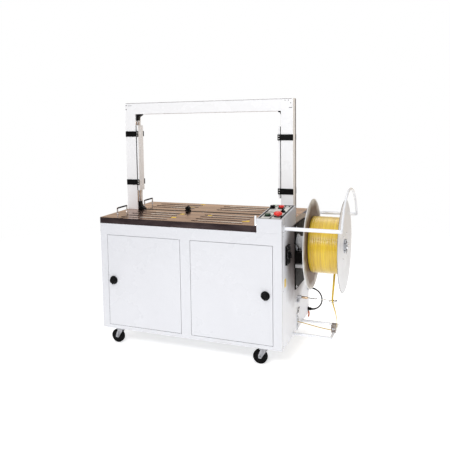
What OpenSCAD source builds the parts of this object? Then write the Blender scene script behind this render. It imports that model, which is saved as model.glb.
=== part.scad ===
// Arch strapping machine on casters: cabinet, tilting table plates, arch with sprung track gates,
// control console, strap reel with guard, and the strap feed and sealing units inside.
// Positions are measured from the cabinet's front left corner on the floor (X right, Y rearward,
// Z up); at_cabinet() then puts the origin under the middle of the whole machine.

/* [Cabinet] */
// Width of the cabinet
cab_w = 1090; // [1080:1:1100]
// Depth of the cabinet
cab_d = 660; // [650:1:670]
// Height of the cabinet's underside above the floor
cab_z = 105; // [105:1:106]
// Height of the table top
table_z = 765; // [764:1:768]
// Depth of the table plates' edges
table_t = 35; // [34:1:36]
// Sheet thickness
sheet = 2; // [1.5:0.5:2]
// Side of the square frame tubes
tube = 30; // [28:1:30]

/* [Doors] */
// Height of the doors' lower edge
door_low = 128; // [128:1:132]
// Height of the doors' upper edge
door_high = 662; // [656:1:662]
// Left edge of the left door
left_door_x = 47; // [46:1:50]
// Width of the left door
left_door_w = 463; // [458:1:464]
// Left edge of the right door
right_door_x = 574; // [572:1:578]
// Width of the right door
right_door_w = 466; // [460:1:467]
// Thickness of the doors
door_t = 16; // [14:1:16]

/* [Table] */
// Width of the two tilting plates
plate_w = 954.5; // [950:0.5:954.5]
// Middle of the strap slot, measured from the front
strap_y = 346; // [346:1:346]
// Width of the strap slot
slot_w = 14; // [14:1:16]
// Height of the pressed ribs
rib_h = 2; // [1:0.5:2]

/* [Arch] */
// Left face of the arch
arch_x = 5; // [4:1:6]
// Width of the arch over its columns
arch_w = 1070; // [1066:1:1072]
// Side of the arch's columns and beam, seen from the front
beam_w = 70; // [68:1:72]
// Depth of the columns and the beam
beam_d = 70; // [70:1:70]
// Clear height under the beam
arch_h = 600; // [590:5:620]
// Length of the track gates
gate_len = 410; // [400:5:410]
// Thickness of the track gates
gate_t = 11; // [10:1:11]

/* [Console] */
// Height of the console's front edge
console_front_z = 803; // [800:1:806]
// Height of the console's rear edge
console_rear_z = 832; // [828:1:836]

/* [Reel] */
// Radius of the reel's flanges
flange_r = 255; // [250:1:256]
// Thickness of the reel's flanges
flange_t = 3; // [2:0.5:3]
// Inner face of the inner flange, measured from the cabinet's left side
reel_x = 1181; // [1180:1:1184]
// Clear width between the flanges
reel_w = 175; // [172:1:176]
// Radius of the strap on the reel
winding_r = 158; // [150:1:158]
// Radius of the reel's core
core_r = 100; // [95:1:102]
// Height of the reel's axis
reel_z = 614; // [612:1:616]

/* [Casters] */
// Radius of the wheels
wheel_r = 40; // [39:0.5:40]
// Width of the wheels
wheel_w = 24; // [22:1:25]
// Distance from the swivel to the wheel's axle
caster_trail = 28; // [26:1:30]

/* [Hidden] */
$fn = 64;
gap = 0.3;
fit = 0.05;

// Heights and main planes
deck_z = table_z - table_t;
deck_y0 = strap_y - 27.5;
deck_y1 = strap_y + 45.5;
front_plate_d = deck_y0 - 0.5;
rear_plate_y = deck_y1 + 0.5;
frame_d = 20;
door_gap = 2;
beam_z = table_z + arch_h;
arch_top = beam_z + beam_w;
arch_inner_l = arch_x + beam_w;
arch_inner_r = arch_x + arch_w - beam_w;
column_y0 = 320;
column_y1 = column_y0 + beam_d;
track_w = 16;
track_d = 15;

// Door pivots and latches
pivot_in = 7;
pivot_y = 5;
pin_r = 2.5;
latch_z = 396;
left_latch_x = 82;
right_latch_x = 1001;
latch_depth = 24;

// Track gates
gate_gap = 5;
gate_low_l = 886;
gate_low_r = 868;
gate_split = 1.5;
clamps_l = [922, 1225];
clamps_r = [892, 1199];
clamp_h = 34;

// Console
console_x = 955;
console_d = 318;
slope = atan((console_rear_z - console_front_z) / console_d);
panel_x = 962;
panel_w = 122;
panel_y = 8;
panel_l = 303;
start_at = [998, 66];
stop_at = [1028, 238];
emergency_at = [1056, 60];
tension_at = [980, 228];
selector_at = [1056, 161];

// Main switch on the right side
switch_y = 113;
switch_z = 597;

// Reel and its guard
reel_y = strap_y - 5;
shaft_r = 12.5;
drum_r = 60;
outer_x = reel_x + reel_w;
guard_reach = 1385;
guard_z = 748;
guard_half = 288;
guard_r = norm([guard_half, guard_z - reel_z]);
guard_angle = atan((guard_z - reel_z) / guard_half);
bar_r = 10;
hoop_r = 6;

// Strap guides at the right side
rail_z = 117;
rail_front_y = 243;
rail_rear_y = 465;
rail_r = 7.5;
rail_end = 1301;
roller_x = 1300;
roller_z = 140;
roller_r = 14;
arm_z = 290;
arm_y = 367.5;
arm_pivot_x = 1102;
eye_x = 1289;
eye_y = 350;
eye_r = 16;

// Strap from the reel through the eye, round the roller and into the inlet
strap_w = 12;
strap_t = 0.8;
strap_route = [
    [1289, 501, 614], [1289, 498.5, 586], [1289, 491, 558], [1289, 481, 536], [1289, 466, 508],
    [1289, 450, 478], [1289, 433, 446], [1289, 416, 414], [1289, 399, 383], [1289, 383, 353],
    [1289, 366, 322], [1290, 351, 294], [1297, 348, 264], [1306, 347, 234], [1312, 346, 206],
    [1315, 346, 178], [1315.5, 346, 156], [1315, 346, 140], [1313, 346, 132.5],
    [1307.5, 346, 127], [1300, 346, 125], [1286, 346, 125.5], [1262, 346, 127],
    [1236, 346, 129.5], [1210, 346, 133], [1184, 346, 137], [1158, 346, 141.5],
    [1132, 346, 146], [1106, 346, 149.5], [1080, 346, 152]];
strap_twist_from = 4;
strap_twist_to = 15;

// Power cable between its gland and its plug
cable_r = 4;
cable_y = 640;
gland_z = 268;
plug_z = 134;
cable_route = [
    [1108, 640, 268], [1118, 640, 267.5], [1131, 640, 264.5], [1146, 640, 257.5],
    [1159, 640, 246.5], [1169, 640, 232.5], [1175, 640, 216.5], [1177, 640, 200],
    [1175, 640, 184], [1169, 640, 168.5], [1159, 640, 155], [1147, 640, 144.5],
    [1133, 640, 137.5], [1121, 640, 134.5], [1112, 640, 134]];

// Casters
caster_xs = [95, 982];
caster_ys = [57, 603];
fork_top = 92;

// Units inside the cabinet
cam_y = 390;
cam_z = 600;
cam_xs = [390, 430, 470, 510];
feed_x = 700;
feed_z = 560;
feed_r = 30;
pinch_r = 18;
feed_gap = 0.8;

// Middle of the whole machine
mid_x = (guard_reach + hoop_r) / 2;
mid_y = (cab_d - latch_depth) / 2;

// ---- helpers ----

module at_cabinet() { translate([-mid_x, -mid_y, 0]) children(); }

// A box from its lowest corner to its highest corner
module block(low, high) { translate(low) cube(high - low); }

module along_x(x0, x1, y, z, r) {
    translate([x0, y, z]) rotate([0, 90, 0]) cylinder(r = r, h = x1 - x0);
}

module along_y(x, y0, y1, z, r) {
    translate([x, y0, z]) rotate([-90, 0, 0]) cylinder(r = r, h = y1 - y0);
}

// Puts a child on the console's sloping top, with its local Z along the slope's normal
module on_console(at) {
    translate([at[0], at[1], console_front_z + at[1] * tan(slope)]) rotate([slope, 0, 0]) children();
}

function tangent(route, i) =
    let(a = route[max(i - 1, 0)], b = route[min(i + 1, len(route) - 1)]) (b - a) / norm(b - a);

function square_to(direction, along) =
    let(s = direction - (direction * along) * along) s / norm(s);

// A closed tube swept along a route; sides[i] is the direction of its width at point i
module swept(route, sides, half_w, half_t, count = 8) {
    last = len(route) - 1;
    rings = [for (i = [0:last])
        let(t = tangent(route, i), s = square_to(sides[i], t), n = cross(t, s))
        for (k = [0:count - 1])
            let(a = 360 * (k + 0.5) / count) route[i] + half_w * cos(a) * s + half_t * sin(a) * n];
    walls = [for (i = [0:last - 1], k = [0:count - 1], half = [0, 1])
        let(m = (k + 1) % count, a = i * count, b = (i + 1) * count)
        half == 0 ? [a + k, b + k, b + m] : [a + k, b + m, a + m]];
    start_cap = [for (k = [0:count - 1]) k];
    end_cap = [for (k = [count - 1:-1:0]) last * count + k];
    polyhedron(points = rings, faces = concat(walls, [start_cap], [end_cap]), convexity = 6);
}

// ---- cabinet ----

module frame_ring(z) {
    far = cab_w - sheet;
    back = cab_d - sheet;
    for (y = [frame_d + 2, back - tube])
        block([sheet, y, z], [far, y + tube, z + tube - gap]);
    for (x = [sheet, far - tube])
        block([x, frame_d + 2 + tube + gap, z], [x + tube, back - tube - gap, z + tube - gap]);
}

module cabinet_frame() color("gainsboro") at_cabinet() {
    block([sheet, frame_d, cab_z], [cab_w - sheet, cab_d - sheet, cab_z + sheet - gap]);
    frame_ring(cab_z + sheet);
    frame_ring(deck_z - tube);
    for (x = [sheet, cab_w - sheet - tube], y = [frame_d + 2, cab_d - sheet - tube])
        block([x, y, cab_z + sheet + tube], [x + tube, y + tube, deck_z - tube - gap]);
}

module door_opening(x, w) {
    block([x - door_gap, -1, door_low - door_gap],
          [x + w + door_gap, frame_d + 1, door_high + door_gap]);
}

module pivot_bores(x) {
    translate([x, pivot_y, door_low - 8]) cylinder(r = pin_r + fit, h = door_high - door_low + 16);
}

module front_frame() color("white") at_cabinet() {
    wall = door_gap + sheet;
    left_end = left_door_x + left_door_w;
    right_end = right_door_x + right_door_w;
    top = deck_z - sheet;
    low = cab_z + sheet;
    difference() {
        block([0, 0, cab_z], [cab_w, frame_d, deck_z]);
        door_opening(left_door_x, left_door_w);
        door_opening(right_door_x, right_door_w);
        block([sheet, sheet, low], [left_door_x - wall, frame_d + 1, top]);
        block([left_end + wall, sheet, low], [right_door_x - wall, frame_d + 1, top]);
        block([right_end + wall, sheet, low], [cab_w - sheet, frame_d + 1, top]);
        block([sheet, sheet, door_high + wall], [cab_w - sheet, frame_d + 1, top]);
        block([sheet, sheet, low], [cab_w - sheet, frame_d + 1, door_low - wall]);
        pivot_bores(left_end - pivot_in);
        pivot_bores(right_door_x + pivot_in);
    }
}

module left_side_panel() color("white") at_cabinet()
    block([0, frame_d, cab_z], [sheet, cab_d - sheet, deck_z]);

module right_side_panel() color("white") at_cabinet() {
    difference() {
        block([cab_w - sheet, frame_d, cab_z], [cab_w, cab_d - sheet, deck_z]);
        block([cab_w - 5, strap_y - 8, 120], [cab_w + 1, strap_y + 8, 190]);
        along_x(cab_w - 5, cab_w + 1, cable_y - 12, gland_z, 7);
    }
}

module rear_panel() color("white") at_cabinet() {
    slot_l = 120;
    difference() {
        block([0, cab_d - sheet, cab_z], [cab_w, cab_d, deck_z]);
        for (x = [190, 780], row = [0:7])
            block([x, cab_d - 5, 520 + 16 * row], [x + slot_l, cab_d + 1, 526 + 16 * row]);
    }
}

// ---- doors ----

module door_tray(x, w, pivot_x, latch_x) {
    difference() {
        block([x, 0, door_low], [x + w, door_t, door_high]);
        block([x + sheet, sheet, door_low + sheet],
              [x + w - sheet, door_t + 1, door_high - sheet]);
        along_y(latch_x, -1, sheet + 1, latch_z, 8 + fit);
    }
    for (z = [door_low - 4, door_high - 6])
        translate([pivot_x, pivot_y, z]) cylinder(r = pin_r, h = 10);
}

module left_door() color("white") at_cabinet()
    door_tray(left_door_x, left_door_w, left_door_x + left_door_w - pivot_in, left_latch_x);

module right_door() color("white") at_cabinet()
    door_tray(right_door_x, right_door_w, right_door_x + pivot_in, right_latch_x);

// Round quarter-turn latch with a flat grip, a shaft through the door and a short tongue
module latch(x) {
    along_y(x, -7, -gap, latch_z, 23);
    difference() {
        along_y(x, -latch_depth, -7, latch_z, 20);
        for (s = [-1, 1])
            translate([x + s * 15, -latch_depth / 2 - 5, latch_z]) cube([18, 14, 60], center = true);
    }
    along_y(x, -gap, 10, latch_z, 8);
    block([x - 6, 6, latch_z - 26], [x + 6, 9, latch_z]);
}

module left_latch() color("black") at_cabinet() latch(left_latch_x);
module right_latch() color("black") at_cabinet() latch(right_latch_x);

// ---- table ----

// One long pressed rib with round ends
module rib(x, y, l) {
    r = 7;
    translate([x + r, y, table_z]) cylinder(r = r, h = rib_h);
    translate([x + l - r, y, table_z]) cylinder(r = r, h = rib_h);
    block([x + r, y - r, table_z], [x + l - r, y + r, table_z + rib_h]);
}

// A plate with turned-down edges, open underneath
module tray_plate(low, high) {
    difference() {
        block([low[0], low[1], deck_z + gap], [high[0], high[1], table_z]);
        block([low[0] + sheet, low[1] + sheet, deck_z - 1],
              [high[0] - sheet, high[1] - sheet, table_z - 3]);
    }
}

// A bent wire handle standing on the plate's left edge
module wire_handle(x, y0, y1) {
    h = 36;
    r = 4;
    for (y = [y0, y1]) {
        translate([x, y, table_z - 1]) cylinder(r = r, h = h - 1);
        translate([x, y, table_z + h - 2]) sphere(r = r);
    }
    along_y(x, y0, y1, table_z + h - 2, r);
}

module table_front_plate() color("rosybrown") at_cabinet() {
    tray_plate([0, 0], [plate_w, front_plate_d]);
    for (y = [56, 122, 188, 254], x = [110, 560]) rib(x, y, 300);
    wire_handle(38, 135, 247);
    block([944, 4, table_z - 1], [953, 10, table_z + 52]);
}

module table_rear_plate() color("tan") at_cabinet() {
    tray_plate([0, rear_plate_y], [plate_w, cab_d]);
    for (y = [452, 518, 584], x = [110, 560]) rib(x, y, 300);
    wire_handle(38, 480, 592);
}

module slot_cut(low_z, high_z, w) {
    block([110, strap_y - w / 2, low_z], [945, strap_y + w / 2, high_z]);
}

module fixed_deck() color("rosybrown") at_cabinet() {
    corner_x = plate_w + 0.5;
    difference() {
        union() {
            block([0, deck_y0, deck_z], [cab_w, deck_y1, table_z]);
            block([corner_x, deck_y1 - 1, deck_z], [cab_w, cab_d, table_z]);
        }
        slot_cut(deck_z - 1, table_z + 1, slot_w);
        block([sheet, deck_y0 + sheet, deck_z - 1], [cab_w - sheet, strap_y - 12, table_z - 3]);
        block([sheet, strap_y + 12, deck_z - 1], [cab_w - sheet, deck_y1 - sheet, table_z - 3]);
        block([corner_x + sheet, deck_y1 - 1, deck_z - 1],
              [cab_w - sheet, cab_d - sheet, table_z - 3]);
    }
}

// Sliding anvil beside the slot, with a raised diamond-shaped cover
module anvil_slide() color("black") at_cabinet() {
    x = 400;
    y = strap_y + 9;
    z = table_z + gap;
    block([x - 16, y, z], [x + 16, y + 34, z + 3]);
    translate([x, y + 30, z + 2]) rotate([90, 0, 0]) linear_extrude(height = 26)
        polygon([[-7, 0], [7, 0], [17, 12], [0, 27], [-17, 12]]);
}

module lower_track() color("silver") at_cabinet() {
    difference() {
        block([106, strap_y - 11, deck_z - 30], [949, strap_y + 11, deck_z]);
        slot_cut(deck_z - 20, deck_z + 1, track_w);
    }
}

// ---- arch ----

// A hollow column with the strap track let into its inner side; s is +1 with the track facing +X
module column(x, s) {
    inner = s > 0 ? x + beam_w : x;
    difference() {
        block([x, column_y0, table_z], [x + beam_w, column_y1, arch_top]);
        block([x + 3 + (s > 0 ? 0 : track_d + 3), column_y0 + 3, table_z + 3],
              [x + beam_w - 3 - (s > 0 ? track_d + 3 : 0), column_y1 - 3, arch_top - 3]);
        block([min(inner - s * track_d, inner + s), strap_y - track_w / 2, table_z + 40],
              [max(inner - s * track_d, inner + s), strap_y + track_w / 2, beam_z + track_d]);
    }
}

module arch_left_column() color("white") at_cabinet() column(arch_x, 1);
module arch_right_column() color("white") at_cabinet() column(arch_inner_r, -1);

module arch_top_beam() color("white") at_cabinet() {
    difference() {
        block([arch_inner_l, column_y0, beam_z], [arch_inner_r, column_y1, arch_top]);
        block([arch_inner_l + 3, column_y0 + 3, beam_z + track_d + 3],
              [arch_inner_r - 3, column_y1 - 3, arch_top - 3]);
        block([arch_inner_l - 1, strap_y - track_w / 2, beam_z - 1],
              [arch_inner_r + 1, strap_y + track_w / 2, beam_z + track_d]);
    }
}

// A solid corner guide: leg_x and leg_z are its legs, sx and sz the way it faces
module corner_guide(x, z, leg_x, leg_z, sx, sz) {
    translate([x, strap_y + 15, z]) rotate([90, 0, 0]) linear_extrude(height = 30)
        polygon([[0, 0], [sx * leg_x, 0], [sx * leg_x, sz * 6], [sx * leg_x * 0.42, sz * leg_z * 0.45],
                 [sx * leg_x * 0.3, sz * leg_z], [0, sz * leg_z]]);
}

module corner_guides() color("black") at_cabinet() {
    corner_guide(arch_inner_l, beam_z, 36, 40, 1, -1);
    corner_guide(arch_inner_r, beam_z, 20, 19, -1, -1);
    corner_guide(arch_inner_l, table_z, 42, 50, 1, 1);
}

// Clamps that hold the gates on the columns, in front and behind
module gate_clamps() color("black") at_cabinet() {
    reach = gate_gap + gate_t + 3;
    thick = 3;
    for (y = [column_y0 - thick, column_y1]) {
        for (z = clamps_l)
            block([arch_x - 1, y, z], [arch_inner_l + reach, y + thick, z + clamp_h]);
        for (z = clamps_r)
            block([arch_inner_r - reach, y, z], [arch_x + arch_w + 1, y + thick, z + clamp_h]);
    }
}

// One gate: s is +1 on the left column; y0 and y1 are its edges
module gate(s, y0, y1) {
    face = s > 0 ? arch_inner_l + gate_gap : arch_inner_r - gate_gap - gate_t;
    low = s > 0 ? gate_low_l : gate_low_r;
    difference() {
        block([face, y0, low], [face + gate_t, y1, low + gate_len]);
        block([face + (s > 0 ? -1 : sheet), y0 + sheet, low + sheet],
              [face + gate_t - (s > 0 ? sheet : -1), y1 - sheet, low + gate_len - sheet]);
    }
}

module left_front_gate() color("white") at_cabinet() gate(1, column_y0 + 3, strap_y - gate_split);
module left_rear_gate() color("white") at_cabinet() gate(1, strap_y + gate_split, column_y1 - 3);
module right_front_gate() color("white") at_cabinet() gate(-1, column_y0 + 3, strap_y - gate_split);
module right_rear_gate() color("white") at_cabinet() gate(-1, strap_y + gate_split, column_y1 - 3);

// ---- console ----

module console_holes() {
    on_console(emergency_at) cylinder(r = 11, h = 20, center = true);
    on_console(stop_at) cylinder(r = 11, h = 20, center = true);
    on_console(start_at) cylinder(r = 11, h = 20, center = true);
    on_console(tension_at) cylinder(r = 4 + fit, h = 20, center = true);
    on_console(selector_at) cylinder(r = 6 + fit, h = 20, center = true);
}

module console_wedge(inset) {
    drop = inset / cos(slope);
    low = inset > 0 ? deck_z - 1 : deck_z;
    translate([console_x + inset, 0, 0]) rotate([90, 0, 90])
        linear_extrude(height = cab_w - console_x - 2 * inset)
            polygon([[inset, low], [console_d - inset, low],
                     [console_d - inset, console_front_z + (console_d - inset) * tan(slope) - drop],
                     [inset, console_front_z + inset * tan(slope) - drop]]);
}

module console_box() color("white") at_cabinet() {
    difference() {
        console_wedge(0);
        console_wedge(sheet);
        console_holes();
    }
}

module console_panel() color("lightgrey") at_cabinet() {
    difference() {
        on_console([panel_x, panel_y]) cube([panel_w, panel_l, 1.5]);
        console_holes();
    }
}

// A push button: its stem passes through the console's top
module push_button(at, head_r, head_h, lift) {
    on_console(at) {
        translate([0, 0, lift]) cylinder(r = head_r, h = head_h);
        translate([0, 0, -14]) cylinder(r = 9, h = lift + 15);
    }
}

module emergency_button() color("red") at_cabinet() {
    push_button(emergency_at, 22, 11, 12);
    on_console(emergency_at) translate([0, 0, 22]) cylinder(r1 = 22, r2 = 14, h = 6);
}

module stop_button() color("red") at_cabinet() push_button(stop_at, 15, 8, 9);
module start_button() color("green") at_cabinet() push_button(start_at, 15, 8, 6);

module tension_knob() color("black") at_cabinet() on_console(tension_at) {
    translate([0, 0, 2]) cylinder(r = 15, h = 6);
    translate([0, 0, 7]) cylinder(r = 12, h = 11);
    translate([0, 0, -10]) cylinder(r = 4, h = 13);
}

module mode_selector() color("black") at_cabinet() on_console(selector_at) {
    translate([0, 0, 2]) cylinder(r = 13, h = 5);
    translate([-4, -12, 6]) cube([8, 24, 11]);
    translate([0, 0, -10]) cylinder(r = 6, h = 13);
}

module main_switch_box() color("black") at_cabinet() {
    difference() {
        block([cab_w, switch_y - 38, switch_z - 50], [cab_w + 9, switch_y + 38, switch_z + 50]);
        along_x(cab_w + 2, cab_w + 10, switch_y, switch_z, 5 + fit);
    }
}

module main_switch_knob() color("black") at_cabinet() {
    along_x(cab_w + 3, cab_w + 11, switch_y, switch_z, 5);
    along_x(cab_w + 9.5, cab_w + 12.5, switch_y, switch_z, 17);
    block([cab_w + 12, switch_y - 5, switch_z - 15], [cab_w + 24, switch_y + 5, switch_z + 15]);
}

// ---- casters ----

module caster_plates() color("silver") at_cabinet() {
    for (x = caster_xs, y = caster_ys) {
        difference() {
            translate([x - 36, y - 30, cab_z - 3]) cube([72, 60, 3]);
            for (dx = [-28, 28], dy = [-22, 22])
                translate([x + dx, y + dy, cab_z - 4]) cylinder(r = 4.5, h = 6);
        }
        translate([x, y, fork_top + gap]) cylinder(r = 22, h = cab_z - 3 - fork_top - gap + 0.1);
    }
}

// A swivel fork: crown, two cheeks and the axle's two ends beside the wheel
module caster_fork(x, y) {
    axle_x = x - caster_trail;
    inner = wheel_w / 2 + 1;
    outer = inner + 3;
    translate([x, y, fork_top - 8]) cylinder(r = 24, h = 8);
    block([axle_x - 2, y - outer, fork_top - 11], [x + 14, y + outer, fork_top - 8 + 0.1]);
    for (s = [-1, 1]) {
        translate([0, y + s * (inner + outer) / 2 + 1.5, 0]) rotate([90, 0, 0])
            linear_extrude(height = 3)
                polygon([[x + 6, fork_top - 9], [x + 6, fork_top - 20], [axle_x + 8, wheel_r - 8],
                         [axle_x - 7, wheel_r - 8], [axle_x - 8, wheel_r + 8],
                         [axle_x + 6, fork_top - 9]]);
    }
    along_y(axle_x, y - outer - 4, y + outer + 4, wheel_r, 5);
}

module caster_wheel(x, y) {
    axle_x = x - caster_trail;
    difference() {
        union() {
            along_y(axle_x, y - wheel_w / 2, y + wheel_w / 2, wheel_r, wheel_r - 2);
            along_y(axle_x, y - wheel_w / 2 + 3, y + wheel_w / 2 - 3, wheel_r, wheel_r);
        }
        along_y(axle_x, y - wheel_w, y + wheel_w, wheel_r, 5 + fit);
    }
}

module front_left_fork() color("silver") at_cabinet() caster_fork(caster_xs[0], caster_ys[0]);
module front_right_fork() color("silver") at_cabinet() caster_fork(caster_xs[1], caster_ys[0]);
module rear_left_fork() color("silver") at_cabinet() caster_fork(caster_xs[0], caster_ys[1]);
module rear_right_fork() color("silver") at_cabinet() caster_fork(caster_xs[1], caster_ys[1]);
module front_left_wheel() color("black") at_cabinet() caster_wheel(caster_xs[0], caster_ys[0]);
module front_right_wheel() color("black") at_cabinet() caster_wheel(caster_xs[1], caster_ys[0]);
module rear_left_wheel() color("black") at_cabinet() caster_wheel(caster_xs[0], caster_ys[1]);
module rear_right_wheel() color("black") at_cabinet() caster_wheel(caster_xs[1], caster_ys[1]);

// ---- reel ----

module reel_mount() color("silver") at_cabinet() {
    block([cab_w, reel_y - 56, 356], [cab_w + 6, reel_y + 199, 727]);
    difference() {
        along_x(cab_w + 5, cab_w + 60, reel_y, reel_z, 40);
        along_x(cab_w + 9, cab_w + 61, reel_y, reel_z, shaft_r + fit);
    }
    block([cab_w + 5, reel_y - 62, 512], [cab_w + 52, reel_y - 22, reel_z - 42]);
    block([cab_w, reel_y - 66, 486], [cab_w + 76, reel_y - 50, 504]);
    block([cab_w + 64, reel_y - 66, 486], [cab_w + 76, reel_y + 20, 504]);
    block([cab_w + 64, reel_y - 10, 503], [cab_w + 76, reel_y + 20, reel_z - drum_r - 1]);
}

// Shaft, brake drum, inner flange and core, welded together
module reel_hub() color("whitesmoke") at_cabinet() {
    along_x(cab_w + 10, outer_x + 16, reel_y, reel_z, shaft_r);
    along_x(cab_w + 64, cab_w + 76, reel_y, reel_z, drum_r);
    along_x(reel_x - flange_t, reel_x, reel_y, reel_z, flange_r);
    difference() {
        along_x(reel_x - 1, outer_x, reel_y, reel_z, core_r);
        along_x(reel_x - 0.5, outer_x + 1, reel_y, reel_z, core_r - 4);
    }
}

module outer_flange() color("whitesmoke") at_cabinet() {
    difference() {
        along_x(outer_x, outer_x + flange_t, reel_y, reel_z, flange_r);
        along_x(outer_x - 1, outer_x + flange_t + 1, reel_y, reel_z, shaft_r);
    }
}

module strap_winding() color("gold") at_cabinet() {
    difference() {
        along_x(reel_x + 1, outer_x - 1, reel_y, reel_z, winding_r);
        along_x(reel_x, outer_x, reel_y, reel_z, core_r);
    }
}

module hub_lock() color("dimgray") at_cabinet() {
    difference() {
        union() {
            along_x(outer_x + flange_t, outer_x + 12, reel_y, reel_z, 38);
            along_x(outer_x + 11, outer_x + 21, reel_y, reel_z, 17);
        }
        along_x(outer_x, outer_x + 16, reel_y, reel_z, shaft_r);
    }
}

// Two bars from the cabinet joined by a hoop round the reel's outer flange
module reel_guard() color("white") at_cabinet() {
    for (s = [-1, 1]) {
        along_x(cab_w, guard_reach - bar_r + hoop_r, reel_y + s * guard_half, guard_z, bar_r);
        along_x(cab_w, cab_w + 4, reel_y + s * guard_half, guard_z, bar_r + 5);
        translate([guard_reach - bar_r + hoop_r, reel_y + s * guard_half, guard_z]) sphere(r = bar_r);
    }
    translate([guard_reach, reel_y, reel_z]) rotate([90, 0, 90]) rotate([0, 0, guard_angle])
        rotate_extrude(angle = 180 - 2 * guard_angle) translate([guard_r, 0]) circle(r = hoop_r);
}

// ---- strap guides ----

module lower_guide_frame() color("white") at_cabinet() {
    for (y = [rail_front_y, rail_rear_y]) {
        along_x(cab_w, rail_end, y, rail_z, rail_r);
        along_x(cab_w, cab_w + 3, y, rail_z, rail_r + 4);
        translate([rail_end, y, rail_z]) sphere(r = rail_r);
    }
    along_y(rail_end, rail_front_y, rail_rear_y, rail_z, rail_r);
    for (y = [strap_y - 20, strap_y + 17])
        block([roller_x - 13, y, rail_z], [roller_x + 13, y + 3, roller_z + 22]);
    along_y(roller_x, strap_y - 24, strap_y + 24, roller_z, 3);
}

module guide_roller() color("whitesmoke") at_cabinet() {
    difference() {
        along_y(roller_x, strap_y - 16.5, strap_y + 16.5, roller_z, roller_r);
        along_y(roller_x, strap_y - 17, strap_y + 17, roller_z, 3 + fit);
    }
}

// Sprung brake lever: a brass sleeve on a pivot, a thin rod and a wire eye for the strap
module guide_arm() color("peru") at_cabinet() {
    difference() {
        along_x(arm_pivot_x - 6, 1146, arm_y, arm_z, 6);
        along_y(arm_pivot_x, arm_y - 10, arm_y + 10, arm_z, 3 + fit);
    }
    along_x(1145, 1313, arm_y, arm_z, 2.2);
    translate([eye_x, eye_y, arm_z]) rotate_extrude() translate([eye_r, 0]) circle(r = 1.6);
}

module strap_inlet() color("silver") at_cabinet() {
    difference() {
        block([cab_w, strap_y - 20, 106], [cab_w + 5, strap_y + 20, 202]);
        block([cab_w - 1, strap_y - 8, 120], [cab_w + 6, strap_y + 8, 190]);
    }
    for (s = [-1, 1])
        block([cab_w, arm_y + s * 9.5 - 2, arm_z - 9], [arm_pivot_x + 7, arm_y + s * 9.5 + 2, arm_z + 9]);
    along_y(arm_pivot_x, arm_y - 12, arm_y + 12, arm_z, 3);
}

// The strap lies flat on the reel and turns a quarter turn before the roller
module strap_run() color("gold") at_cabinet() {
    turn = [for (i = [0:len(strap_route) - 1])
        90 * min(1, max(0, (i - strap_twist_from) / (strap_twist_to - strap_twist_from)))];
    swept(strap_route, [for (a = turn) [cos(a), sin(a), 0]], strap_w / 2, strap_t / 2);
}

// ---- cable ----

module cable_fittings() color("black") at_cabinet() {
    for (z = [gland_z, plug_z]) {
        along_x(cab_w, cab_w + 4, cable_y, z, 13);
        along_x(cab_w + 3, cable_route[z == gland_z ? 0 : len(cable_route) - 1][0], cable_y, z, 8);
    }
}

module power_cable() color("black") at_cabinet()
    swept(cable_route, [for (p = cable_route) [0, 1, 0]], cable_r, cable_r);

// ---- units inside ----

module hanger(x, w) {
    block([x, frame_d + 2, deck_z - 2 * tube], [x + w, cab_d - sheet, deck_z - tube]);
}

module sealing_head() color("slategray") at_cabinet() {
    for (x = [350, 550]) {
        hanger(x, 12);
        difference() {
            block([x, 300, 555], [x + 12, 432, deck_z - 2 * tube + 1]);
            along_x(x - 1, x + 13, cam_y, cam_z, 12 + fit);
        }
    }
    block([361, 302, 570], [551, 340, 668]);
}

module cam_shaft() color("darkgray") at_cabinet() {
    along_x(340, 600 - gap, cam_y, cam_z, 12);
    for (i = [0:len(cam_xs) - 1])
        along_x(cam_xs[i] - 7, cam_xs[i] + 7, cam_y + 8 * cos(90 * i), cam_z + 8 * sin(90 * i), 28);
}

// Feed plate with its motor, and the cam motor at the end of the cam shaft
module feed_frame() color("steelblue") at_cabinet() {
    pinch_z = feed_z + feed_r + feed_gap + pinch_r;
    hanger(740, 20);
    difference() {
        block([640, 362, 515], [760, 370, deck_z - 2 * tube + 1]);
        along_y(feed_x, 361, 371, feed_z, 8 + fit);
        along_y(feed_x, 361, 371, pinch_z, 6 + fit);
    }
    along_y(feed_x, 392, 500, feed_z, 42);
    block([feed_x - 30, 369, feed_z - 30], [feed_x - 20, 393, feed_z + 30]);
    block([feed_x + 20, 369, feed_z - 30], [feed_x + 30, 393, feed_z + 30]);
    hanger(600, 12);
    block([600, cam_y - 45, cam_z - 45], [632, cam_y - 25, deck_z - 2 * tube + 1]);
    block([600, cam_y - 45, cam_z - 45], [632, cam_y + 45, cam_z + 45]);
}

module feed_roller() color("dimgray") at_cabinet() {
    along_y(feed_x, strap_y - 8, strap_y + 8, feed_z, feed_r);
    along_y(feed_x, strap_y, 391, feed_z, 8);
}

module pinch_roller() color("gray") at_cabinet() {
    pinch_z = feed_z + feed_r + feed_gap + pinch_r;
    along_y(feed_x, strap_y - 8, strap_y + 8, pinch_z, pinch_r);
    along_y(feed_x, strap_y, 378, pinch_z, 6);
}

module control_box() color("lightgrey") at_cabinet() {
    difference() {
        block([90, 560, 220], [330, cab_d - sheet, 560]);
        block([90 + sheet, 560 + sheet, 220 + sheet],
              [330 - sheet, cab_d - 2 * sheet, 560 - sheet]);
    }
}

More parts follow.
